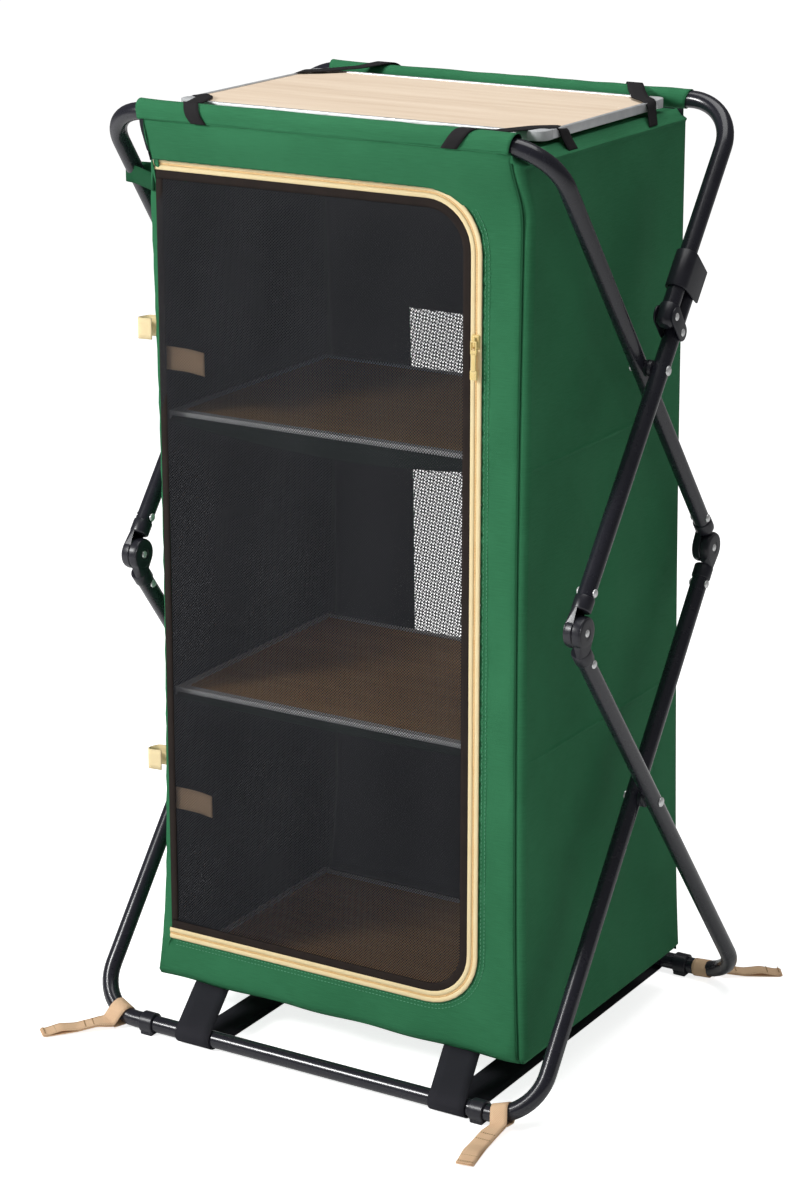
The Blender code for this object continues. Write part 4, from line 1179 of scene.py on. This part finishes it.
def seam_rows():
    """Stitches: two rows outside the zip."""
    bm = bmesh.new()

    def row(points, ways, pitch=0.0042, size=0.0016, lift=0.0008):
        ahead = 0.0
        for (a, b, way) in zip(points, points[1:], ways):
            length = (b - a).length
            if length < 1e-7:
                continue
            run = (b - a).normalized()
            while ahead < length:
                spot = a + run * ahead
                turn = Matrix((run, run.cross(way), way)).transposed().to_4x4()
                bmesh.ops.create_icosphere(bm, subdivisions=1, radius=1.0, matrix=Matrix.Translation(
                    spot + way * lift) @ turn @ Matrix.Diagonal((size, 0.00034, 0.00040, 1.0)))
                ahead += pitch
            ahead -= length

    for offset in (0.0145, 0.0185):
        line = [p for p, _ in door_walk(offset, left=DOOR_LEFT + 0.004)]
        line = [Vector((p.x, FRONT - 0.0006, p.z)) for p in line]
        row(line, [Vector((0, -1, 0))] * len(line))
    sink(new_piece("zip_seam_stitches", bm, green_thread, "cabinet", sharp=80.0))


def make_door(walk):
    """The door: its net, the binding along the zip and the band that it hangs by."""
    bends = [(DOOR_CORNER * (1 - math.cos(math.pi / 2 * i / 8))) / (DOOR_TOP - DOOR_LOW)
             for i in range(9)]
    levels = sorted({*[i / 80 for i in range(81)], *bends, *[1 - bend for bend in bends]})

    def place(u, v):
        z = DOOR_LOW + (DOOR_TOP - DOOR_LOW) * v
        edge = min(z - DOOR_LOW, DOOR_TOP - z)
        right = DOOR_RIGHT
        if edge < DOOR_CORNER:
            right -= DOOR_CORNER - math.sqrt(max(0.0, DOOR_CORNER ** 2 - (DOOR_CORNER - edge) ** 2))
        x = DOOR_LEFT + (right - DOOR_LEFT) * u
        free = min(1.0, edge / 0.05) * min(1.0, (right - x) / 0.04) * min(1.0, 0.3 + u * 4)
        folds = 0.0016 * math.sin(x * 60 + 2.2 * math.sin(z * 5.0))
        folds += 0.0024 * ripple(x * 1.4, z * 0.5, 9.0, 31.0)
        return Vector((x, FRONT - 0.0008 + folds * free, z))

    piece = grid("door_net_panel", 46, levels, place, door_net, "door", ("door_panel",),
                 thick=0.0, flat=(1.0, 1.0))
    flatten_map(piece)
    sink(piece)
    piece = strip_along("door_binding", walk, -0.0095, 0.0002, FRONT - 0.0010, binding, "door",
                        thick=0.0010, crown=0.0004)
    sink(piece)

    def hinge_band(u, v):
        z = DOOR_LOW + (DOOR_TOP - DOOR_LOW) * v
        return Vector((DOOR_LEFT - 0.001 + 0.008 * u, FRONT - 0.0012, z))

    sink(grid("door_hinge_band", 2, 60, hinge_band, binding, "door", thick=0.0010))


def make_slider():
    """The zip's slider with its bridge, and the pull's ring and tab."""
    x, y, z = 0.1625, FRONT - 0.0021, 0.795
    bm = bar((x - 0.0046, y - 0.0030, z - 0.0070), (x + 0.0046, y + 0.0006, z + 0.0070), None, 0.0016)
    bar((x - 0.0016, y - 0.0056, z - 0.0046), (x + 0.0016, y - 0.0022, z + 0.0050), bm, 0.0012)
    sink(new_piece("zip_slider_body", clean(bm), zip_yellow, "zip_slider",
                   ("zip_slider",)))
    bm = bmesh.new()
    near, far = y - 0.0062, y - 0.0040
    # The ring's two sides, top and foot, then the tab's neck and its broad end.
    bars = ((-0.0036, -0.0020, -0.0085, 0.0010), (0.0020, 0.0036, -0.0085, 0.0010),
            (-0.0036, 0.0036, -0.0002, 0.0014), (-0.0036, 0.0036, -0.0120, -0.0075),
            (-0.0026, 0.0026, -0.0290, -0.0105), (-0.0038, 0.0038, -0.0370, -0.0275))
    for left, right, low, high in bars:
        bar((x + left, near, z + low), (x + right, far, z + high), bm, 0.0006, 2)
    for low in (-0.0345, -0.0315):
        bar((x - 0.0024, near - 0.0004, z + low), (x + 0.0024, near + 0.0004, z + low + 0.0011), bm,
            0.0003, 1)
    sink(new_piece("zip_pull_tab", clean(bm), zip_yellow, "zip_pull", ("zip_pull",)))


# ---------------------------------------------------------------- straps and small cloth parts

def even_route(route, count, passes=3):
    """Points, facings and sides shared evenly along a route, its corners rounded."""
    rows = [[Vector(part) for part in step] for step in route]
    runs = [0.0]
    for a, b in zip(rows, rows[1:]):
        runs.append(runs[-1] + (b[0] - a[0]).length)
    out, k = [], 0
    for i in range(count + 1):
        at = runs[-1] * i / count
        while k < len(rows) - 2 and at > runs[k + 1]:
            k += 1
        share = (at - runs[k]) / (runs[k + 1] - runs[k])
        out.append([p.lerp(q, share) for p, q in zip(rows[k], rows[k + 1])])
    for _ in range(passes):
        held = [list(step) for step in out]
        for i in range(1, count):
            out[i] = [(held[i - 1][j] + 2 * held[i][j] + held[i + 1][j]) / 4 for j in range(3)]
    return out, runs[-1]


def strap(name, route, width, material, body, replaces=(), thick=0.0012, count=40, cross=4,
          crown=0.0, passes=3):
    """A band along a route of points, each with the way its face looks and the way its width runs."""
    steps, total = even_route(route, count, passes)

    def place(u, v):
        point, way, side = steps[round(v * count)]
        side = side.normalized()
        way = (way - side * way.dot(side)).normalized()
        return point + side * width * (u - 0.5) + way * crown * math.sin(math.pi * u)

    return grid(name, cross, count, place, material, body, replaces, thick=thick,
                flat=(width, total))


def make_base_straps():
    """Wide bands from the bottom's front edge round both lower rails and back up."""
    across = Vector((1, 0, 0))
    reach = TUBE + 0.0014
    for side, word in ((-1, "left"), (1, "right")):
        top = -0.165 if side < 0 else 0.145
        rail = -0.149 if side < 0 else 0.163
        route = [((top - 0.001, -0.150, LOW - 0.0010), (0, 0, -1), across),
                 ((top, -0.163, LOW - 0.0012), (0, -0.5, -0.8), across)]
        for turn in (118, 140, 165, 190, 215, 240, 262):
            way = yz(math.cos(math.radians(turn)), math.sin(math.radians(turn)))
            route.append((Vector((rail, 0, 0)) + FRONT_FOOT + way * reach, way, across))
        for turn in (-82, -60, -35, -10, 15, 40, 62):
            way = yz(math.cos(math.radians(turn)), math.sin(math.radians(turn)))
            route.append((Vector((rail, 0, 0)) + BACK_FOOT + way * reach, way, across))
        route.append(((top, back_y(LOW) - 0.009, LOW - 0.0012), (0, 0.5, -0.8), across))
        route.append(((top, back_y(LOW) - 0.022, LOW - 0.0010), (0, 0, -1), across))
        piece = strap("base_band_" + word, route, 0.0425, black_band, "cabinet",
                         ("base_strap_" + word,), thick=0.0016, count=190, passes=2)
        sink(piece)


def make_corner_straps():
    """Elastic bands from the rail sleeves across the table's corners and down to the side hems."""
    for row, way in (("front", -1), ("back", 1)):
        rail = FRONT_RAIL if way < 0 else BACK_RAIL
        edge = TABLE_FRONT if way < 0 else TABLE_BACK
        around = TUBE + (0.0050 if way < 0 else 0.0028)
        for side, word in ((-1, "left"), (1, "right")):
            x = {(-1, -1): -0.149, (-1, 1): 0.159, (1, -1): -0.140, (1, 1): 0.152}[way, side]
            rim = TABLE_RIGHT if side > 0 else TABLE_LEFT
            across = Vector((1, 0, 0))
            route = []
            for turn, shift in ((206, -0.012), (180, -0.007), (150, -0.003), (120, 0.0), (98, 0.004)):
                angle = math.radians(turn if way < 0 else 180 - turn)
                out = yz(math.cos(angle), math.sin(angle))
                route.append((Vector((x + side * shift, 0, 0)) + rail + out * around, out, across))
            slope = Vector((rim - side * 0.012 - x, edge - way * 0.020 - rail.y, 0))
            level = Vector((0, 0, 1))
            turned_side = level.cross(slope).normalized()
            if turned_side.x < 0:
                turned_side = -turned_side
            drop = Vector((0, 1, 0)) if turned_side.y > 0 else Vector((0, -1, 0))
            outward = Vector((side, 0, 0))
            route += [
                ((x + side * 0.020, rail.y - way * 0.026, TABLE_HIGH + 0.0026), level, turned_side),
                ((rim - side * 0.020, edge - way * 0.020, TABLE_HIGH + 0.0010), level, turned_side),
                ((rim - side * 0.004, edge - way * 0.034, TABLE_HIGH + 0.0010), level,
                 turned_side + drop * 2),
                ((rim + side * 0.0016, edge - way * 0.038, TABLE_HIGH - 0.0016), outward + level * 0.4,
                 drop),
                ((rim + side * 0.0030, edge - way * 0.040, TABLE_LOW), outward, drop),
                ((side * 0.2206, edge - way * 0.046, 0.9735), outward + level * 0.2, drop)]
            name = "corner_strap_" + row + "_" + word
            strap("elastic_" + row + "_" + word, route, 0.0175, black_elastic, "table",
                  (name,), thick=0.0011, count=84)


def make_sleeves():
    """Sewn tunnels round the top rails, closed at a seam above each panel."""
    rows = (("front", FRONT_RAIL, -0.2125, 0.2120, 210, 0.0024, 0.0011, "upper_frame_front"),
            ("back", BACK_RAIL, -0.2080, 0.2190, -40, 0.0010, 0.0, "upper_frame_back"))
    for row, rail, left, right, turn, room, lift, body in rows:
        seam = math.radians(turn)
        rail = rail + yz(0, lift)

        def place(u, v, rail=rail, left=left, right=right, seam=seam, room=room):
            x = left + (right - left) * u
            angle = seam + 2 * math.pi * v
            end = max(math.exp(-u / 0.012), math.exp(-(1 - u) / 0.012))
            slack = 0.0005 * end + 0.0008 * ripple(x, v * 0.12, 30.0, rail.y * 40)
            radius = TUBE + room + max(-0.0006, slack)
            radius += 0.0016 * math.exp(-(min(v, 1 - v) / 0.03) ** 2)
            x += 0.0025 * end * math.sin(angle) * (1 if u > 0.5 else -1)
            return Vector((x, rail.y + math.cos(angle) * radius, rail.z + math.sin(angle) * radius))

        piece = grid("sleeve_" + row, 110, 44, place, green_cloth, body,
                     ("rail_sleeve_" + row,), thick=0.0008, inner=inside_painted_shade, flip=True,
                     flat=(right - left, 0.072))


def make_loops():
    """Ground loops: webbing round a lower rail, sewn, with a doubled tail that lies on the floor."""
    rows = (("front", "left", front_x, FRONT_FOOT, "cabinet", -0.2490,
             ((-0.266, -0.240, 0.0075), (-0.281, -0.255, 0.0040), (-0.306, -0.283, 0.0026))),
            ("front", "right", front_x, FRONT_FOOT, "cabinet", 0.2227,
             ((0.2262, -0.249, 0.0070), (0.2268, -0.274, 0.0036), (0.2335, -0.312, 0.0026))),
            ("back", "right", back_x, BACK_FOOT, "back_feet", 0.2364,
             ((0.252, 0.236, 0.0080), (0.272, 0.250, 0.0040), (0.306, 0.272, 0.0026))),
            ("back", "left", back_x, BACK_FOOT, "back_feet", -0.2180,
             ((-0.222, 0.244, 0.0070), (-0.228, 0.268, 0.0038), (-0.238, 0.305, 0.0026))))
    for row, word, shift, rail, body, x, tail in rows:
        sign = 1 if x > shift else -1
        start = HALF_FRAME + SPLAY - BEND
        turn = math.asin(min(1.0, max(0.0, abs(x - shift) - start) / BEND))
        along = UP_BACK if row == "front" else UP_FRONT
        centre = Vector((x, 0, 0)) + rail + along * BEND * (1 - math.cos(turn))
        axis = (Vector((sign * math.cos(turn), 0, 0)) + along * math.sin(turn)).normalized()
        if axis.x < 0:
            axis = -axis
        tail = [Vector(spot) for spot in tail]
        outward = tail[0] - centre
        outward = (outward - axis * outward.dot(axis)).normalized()
        over = axis.cross(outward)
        if over.z < 0:
            over = -over
        reach = TUBE + 0.0013
        root = centre + outward * (reach + 0.0075) - over * 0.002
        ring = [(root - over * 0.0010, -over, axis)]
        for angle in (-52, -80, -110, -145, -180, -215, -250, -280, -308):
            spot = outward * math.cos(math.radians(angle)) + over * math.sin(math.radians(angle))
            ring.append((centre + spot * reach, spot, axis))
        ring.append((root + over * 0.0010, over, axis))
        level = yz(0, 1)
        strips = []
        for a, b in zip(tail, tail[1:]):
            flat_way = Vector((b.x - a.x, b.y - a.y, 0)).normalized()
            side = flat_way.cross(level)
            strips.append(side if side.dot(axis) > 0 else -side)
        strips.append(strips[-1])
        upper = [(spot + level * 0.0007, level, side) for spot, side in zip(tail, strips)]
        last = tail[-1] - tail[-2]
        upper.insert(3, upper[-1])
        upper[2:] = [(tail[1].lerp(tail[2], 0.45) + level * 0.0030, level, strips[1]),
                     (tail[2] - last * 0.12 + level * 0.0002, level, strips[2]),
                     (tail[2] + level * 0.0011, level, strips[2])]
        strap("ground_band_" + row + "_" + word, ring + upper, 0.0185, tan_band, body,
              ("ground_loop_" + row + "_" + word,), thick=0.0013, count=130)
        under = [(root - over * 0.0014, over, axis)]
        under += [(spot - level * 0.0012, level, side) for spot, side in zip(tail, strips)]
        under.append((tail[-1] + last.normalized() * 0.0012 + level * 0.0004, level, strips[-1]))
        strap("ground_band_under_" + row + "_" + word, under, 0.0183, tan_band, body,
              thick=0.0011, count=50)
        # Stitches: a row across at the ring's root and a cross near the folded end.
        bm = bmesh.new()
        for at, share in ((tail[0], 0.25), (tail[0], 0.95), (tail[1].lerp(tail[2], 0.62), 0.0),
                          (tail[1].lerp(tail[2], 0.94), 0.0)):
            spot = at.lerp(tail[1], share * 0.6) if share else at
            side = strips[0] if share else strips[1]
            lift = 0.0024 if share else 0.0030
            for i in range(7):
                place = spot + side * (i - 3) * 0.0024 + level * lift
                bmesh.ops.create_icosphere(bm, subdivisions=1, radius=1.0, matrix=Matrix.Translation(
                    place) @ Matrix.Diagonal((0.0009, 0.0006, 0.0004, 1.0)))
        new_piece("ground_stitches_" + row + "_" + word, bm, tan_thread, body, sharp=80)


def make_ties():
    """Cream loops outside the door's hung edge and the tan bands inside, and a tab on the leg."""
    up = yz(0, 1)
    for word, z, inner_z in (("upper", 0.7645, 0.735), ("lower", 0.297, 0.255)):
        x = -0.2215
        route = [((x + 0.003, FRONT + 0.012, z), (0, 1, 0), up),
                 ((x - 0.009, FRONT + 0.010, z), (-0.3, 1, 0), up),
                 ((x - 0.0145, FRONT + 0.002, z - 0.001), (-1, 0.1, 0), up),
                 ((x - 0.011, FRONT - 0.0060, z), (-0.3, -1, 0), up),
                 ((x + 0.004, FRONT - 0.0036, z), (0, -1, 0), up)]
        piece = strap("tie_loop_" + word, route, 0.022, cream_tape, "cabinet",
                         ("door_tie_" + word,), thick=0.0012, count=30)
        sink(piece)
        route = [((-0.2120, FRONT + 0.004, inner_z), (0, -1, 0), up),
                 ((-0.180, FRONT + 0.007, inner_z - 0.001), (0, -1, 0), up),
                 ((-0.160, FRONT + 0.006, inner_z - 0.003), (0, -1, 0), up)]
        piece = strap("tie_inside_" + word, route, 0.024, tan_band, "cabinet",
                         thick=0.0012, count=16)
        sink(piece)
    # Green tab round the left leg, below the top rail's bend.
    spot = FRONT_RAIL - UP_FRONT * TAB_DOWN
    x, z = front_x - HALF_FRAME + LEG_LEAN_IN * (1 - TAB_DOWN / UPPER_RUN), spot.z
    route = [((-0.2130, spot.y + 0.016, z), (0, 1, 0), up),
             ((x + 0.006, spot.y + 0.0115, z), (0, 1, 0), up),
             ((x - 0.0075, spot.y + 0.009, z), (-0.6, 0.8, 0), up),
             ((x - 0.0112, spot.y, z), (-1, 0, 0), up),
             ((x - 0.0075, spot.y - 0.009, z), (-0.6, -0.8, 0), up),
             ((x + 0.006, spot.y - 0.0115, z), (0, -1, 0), up),
             ((-0.2120, FRONT - 0.0020, z), (0, -1, 0), up)]
    piece = strap("leg_tab_left", route, 0.018, green_tape, "cabinet", thick=0.0012,
                     count=44)
    sink(piece)


def make_table():
    """The table: a pale board in a thin metal rim with rounded plastic corners."""
    low, high = TABLE_LOW, TABLE_HIGH
    middle = Vector(((TABLE_LEFT + TABLE_RIGHT) / 2, (TABLE_FRONT + TABLE_BACK) / 2, 0))
    wide, deep = TABLE_RIGHT - TABLE_LEFT, TABLE_BACK - TABLE_FRONT

    def slab(inset, bottom, top, corner):
        part = bmesh.new()
        place = Matrix.Translation((middle.x, middle.y, bottom))
        size = Matrix.Diagonal((wide - 2 * inset, deep - 2 * inset, 1.0, 1.0))
        bmesh.ops.create_grid(part, x_segments=1, y_segments=1, size=0.5, matrix=place @ size)
        bmesh.ops.bevel(part, geom=part.verts[:], offset=corner, offset_type="OFFSET", segments=8,
                        profile=0.5, affect="VERTICES", material=-1)
        result = bmesh.ops.extrude_face_region(part, geom=part.faces[:])["geom"]
        bmesh.ops.translate(part, vec=(0, 0, top - bottom), verts=only(bmesh.types.BMVert, result))
        return part

    bm = slab(0.0, low, high, 0.011)
    for _ in range(2):
        caps = [face for face in bm.faces if len(face.verts) > 8]
        bmesh.ops.inset_region(bm, faces=[max(caps, key=lambda face: face.calc_area())],
                               thickness=0.0048)
    caps = [face for face in bm.faces if len(face.verts) > 8]
    inner = sorted(caps, key=lambda face: face.calc_area())[:2]
    rims = [edge for face in inner for edge in face.edges]
    bmesh.ops.delete(bm, geom=inner, context="FACES_ONLY")
    bmesh.ops.bridge_loops(bm, edges=rims)
    clean(bm)
    soften(bm, corners(bm), 0.0006)
    new_piece("table_rim", clean(bm), brushed_edge, "table", ("table_edge",))
    new_piece("table_leaf", clean(slab(0.0050, low + 0.0012, high - 0.0011, 0.007)), pale_board, "table",
              ("table_board",))
    for i, (sx, sy) in enumerate(((-1, -1), (1, -1), (1, 1), (-1, 1))):
        corner = middle + Vector((sx * (wide / 2 + 0.0004), sy * (deep / 2 + 0.0004), 0))
        inner_corner = corner - Vector((sx * 0.019, sy * 0.019, 0))
        a = Vector((min(corner.x, inner_corner.x), min(corner.y, inner_corner.y), low - 0.0003))
        b = Vector((max(corner.x, inner_corner.x), max(corner.y, inner_corner.y), high + 0.0005))
        bm = bmesh.new()
        place = Matrix.Translation((a + b) / 2) @ Matrix.Diagonal((*(b - a), 1.0))
        bmesh.ops.create_cube(bm, size=1.0, matrix=place)
        for away, round_by in ((0.0, 0.0115), (1.0, 0.0060)):
            target = corner.lerp(inner_corner, away)
            upright = [edge for edge in bm.edges if abs(edge.verts[0].co.z - edge.verts[1].co.z) > 0.005
                       and abs(edge.verts[0].co.x - target.x) < 1e-5
                       and abs(edge.verts[0].co.y - target.y) < 1e-5]
            soften(bm, upright, round_by, 8)
        soften(bm, corners(bm), 0.0007)
        new_piece("table_corner_" + str(i + 1), clean(bm), grey_corner, "table")


def paint_boards():
    """The solids of the floor and the shelves show as they are, in their own finishes."""
    for name in ("floor", "lower_shelf", "upper_shelf"):
        for part, material in (("_board", shelf_board), ("_edge", shelf_trim)):
            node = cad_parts[name + part]
            node.data.materials.clear()
            node.data.materials.append(material)


def make_pocket():
    """The cloth pockets that carry the two shelves' fronts, their green painted very dark as shade under
    the shelves.
    """
    for name, top, deep in (("upper", 0.676, 0.014), ("lower", 0.375, 0.003)):
        def place(u, v, top=top, deep=deep):
            x = -0.2080 + 0.4155 * u
            drop = 0.0065 + deep * math.sin(math.pi * u)
            y = -0.1573 + 0.0010 * math.sin(math.pi * v) * (1 + math.sin(u * 40)) * (deep / 0.014)
            return Vector((x, y, top - 0.0046 - drop * v))

        sink(grid("shelf_pocket_" + name, 50, 5, place, pocket_painted_shade, "cabinet",
                  thick=0.0008, flat=(0.417, 0.026)))


# ---------------------------------------------------------------- stage

def make_stage():
    """Floor, surroundings, lamps and the photograph's camera."""
    scene = bpy.context.scene
    bm = bmesh.new()
    bmesh.ops.create_grid(bm, x_segments=1, y_segments=1, size=12.0)
    mesh = bpy.data.meshes.new("floor")
    bm.to_mesh(mesh)
    bm.free()
    floor = bpy.data.objects.new("studio_floor", mesh)
    scene.collection.objects.link(floor)
    material = bpy.data.materials.new("studio_floor")
    material.use_nodes = True
    tree = material.node_tree
    shader = tree.nodes["Principled BSDF"]
    shader.inputs["Base Color"].default_value = (0.93, 0.93, 0.93, 1.0)
    shader.inputs["Roughness"].default_value = 0.9
    shader.inputs["Specular IOR Level"].default_value = 0.0
    path = tree.nodes.new("ShaderNodeLightPath")
    glow = sums(tree, "MULTIPLY", path.outputs["Is Camera Ray"], 0.80)
    tree.links.new(glow, shader.inputs["Emission Strength"])
    shader.inputs["Emission Color"].default_value = (1.0, 1.0, 1.0, 1.0)
    mesh.materials.append(material)

    world = bpy.data.worlds.new("studio")
    scene.world = world
    world.use_nodes = True
    tree = world.node_tree
    back = tree.nodes["Background"]
    back.inputs["Color"].default_value = (1.0, 1.0, 1.0, 1.0)
    path = tree.nodes.new("ShaderNodeLightPath")
    seen = sums(tree, "MAXIMUM", path.outputs["Is Camera Ray"], path.outputs["Is Transmission Ray"])
    dim = sums(tree, "SUBTRACT", 0.25, sums(tree, "MULTIPLY", path.outputs["Is Glossy Ray"], 0.15))
    tree.links.new(sums(tree, "MAXIMUM", dim, seen), back.inputs["Strength"])

    def lamp(name, place, aim, size, power, tall=None):
        data = bpy.data.lights.new(name, "AREA")
        data.shape = "RECTANGLE"
        data.size = size
        data.size_y = tall or size
        data.energy = power
        thing = bpy.data.objects.new(name, data)
        thing.location = place
        thing.rotation_euler = (Vector(aim) - Vector(place)).to_track_quat("-Z", "Y").to_euler()
        scene.collection.objects.link(thing)

    middle = (0.0, 0.0, 0.5)
    lamp("key", (-1.7, -2.5, 2.1), middle, 0.7, 76.0)
    lamp("overhead", (0.2, 0.1, 3.2), middle, 2.0, 38.0)
    lamp("strip", (-0.35, -3.0, 1.25), middle, 0.10, 3.2, 2.2)

    camera = bpy.data.cameras.new("photo_view")
    camera.lens = FOCAL_PIXELS * SENSOR / PHOTO_SIZE[1]
    camera.sensor_width = SENSOR
    camera.sensor_fit = "AUTO"
    camera.shift_x = (PHOTO_SIZE[0] / 2 - PHOTO_MIDDLE[0]) / PHOTO_SIZE[1]
    camera.shift_y = -(PHOTO_SIZE[1] / 2 - PHOTO_MIDDLE[1]) / PHOTO_SIZE[1]
    camera.clip_start = 0.1
    camera.clip_end = 60.0
    eye = bpy.data.objects.new("photo_view", camera)
    away = Vector((math.sin(VIEW_TURN) * math.cos(VIEW_RISE),
                   -math.cos(VIEW_TURN) * math.cos(VIEW_RISE), math.sin(VIEW_RISE)))
    eye.location = Vector(VIEW_AIM) + away * VIEW_AWAY
    eye.rotation_mode = "QUATERNION"
    eye.rotation_quaternion = (-away).to_track_quat("-Z", "Y")
    scene.collection.objects.link(eye)
    scene.camera = eye
    scene.view_settings.view_transform = "Standard"


make_tubes()
make_knees()
make_crossings()
make_clamps()
make_locks()
make_clips()
make_sides()
make_front()
make_back()
make_top_and_bottom()
make_zip()
make_base_straps()
make_corner_straps()
make_sleeves()
make_loops()
make_ties()
make_table()
paint_boards()
make_pocket()
make_stage()
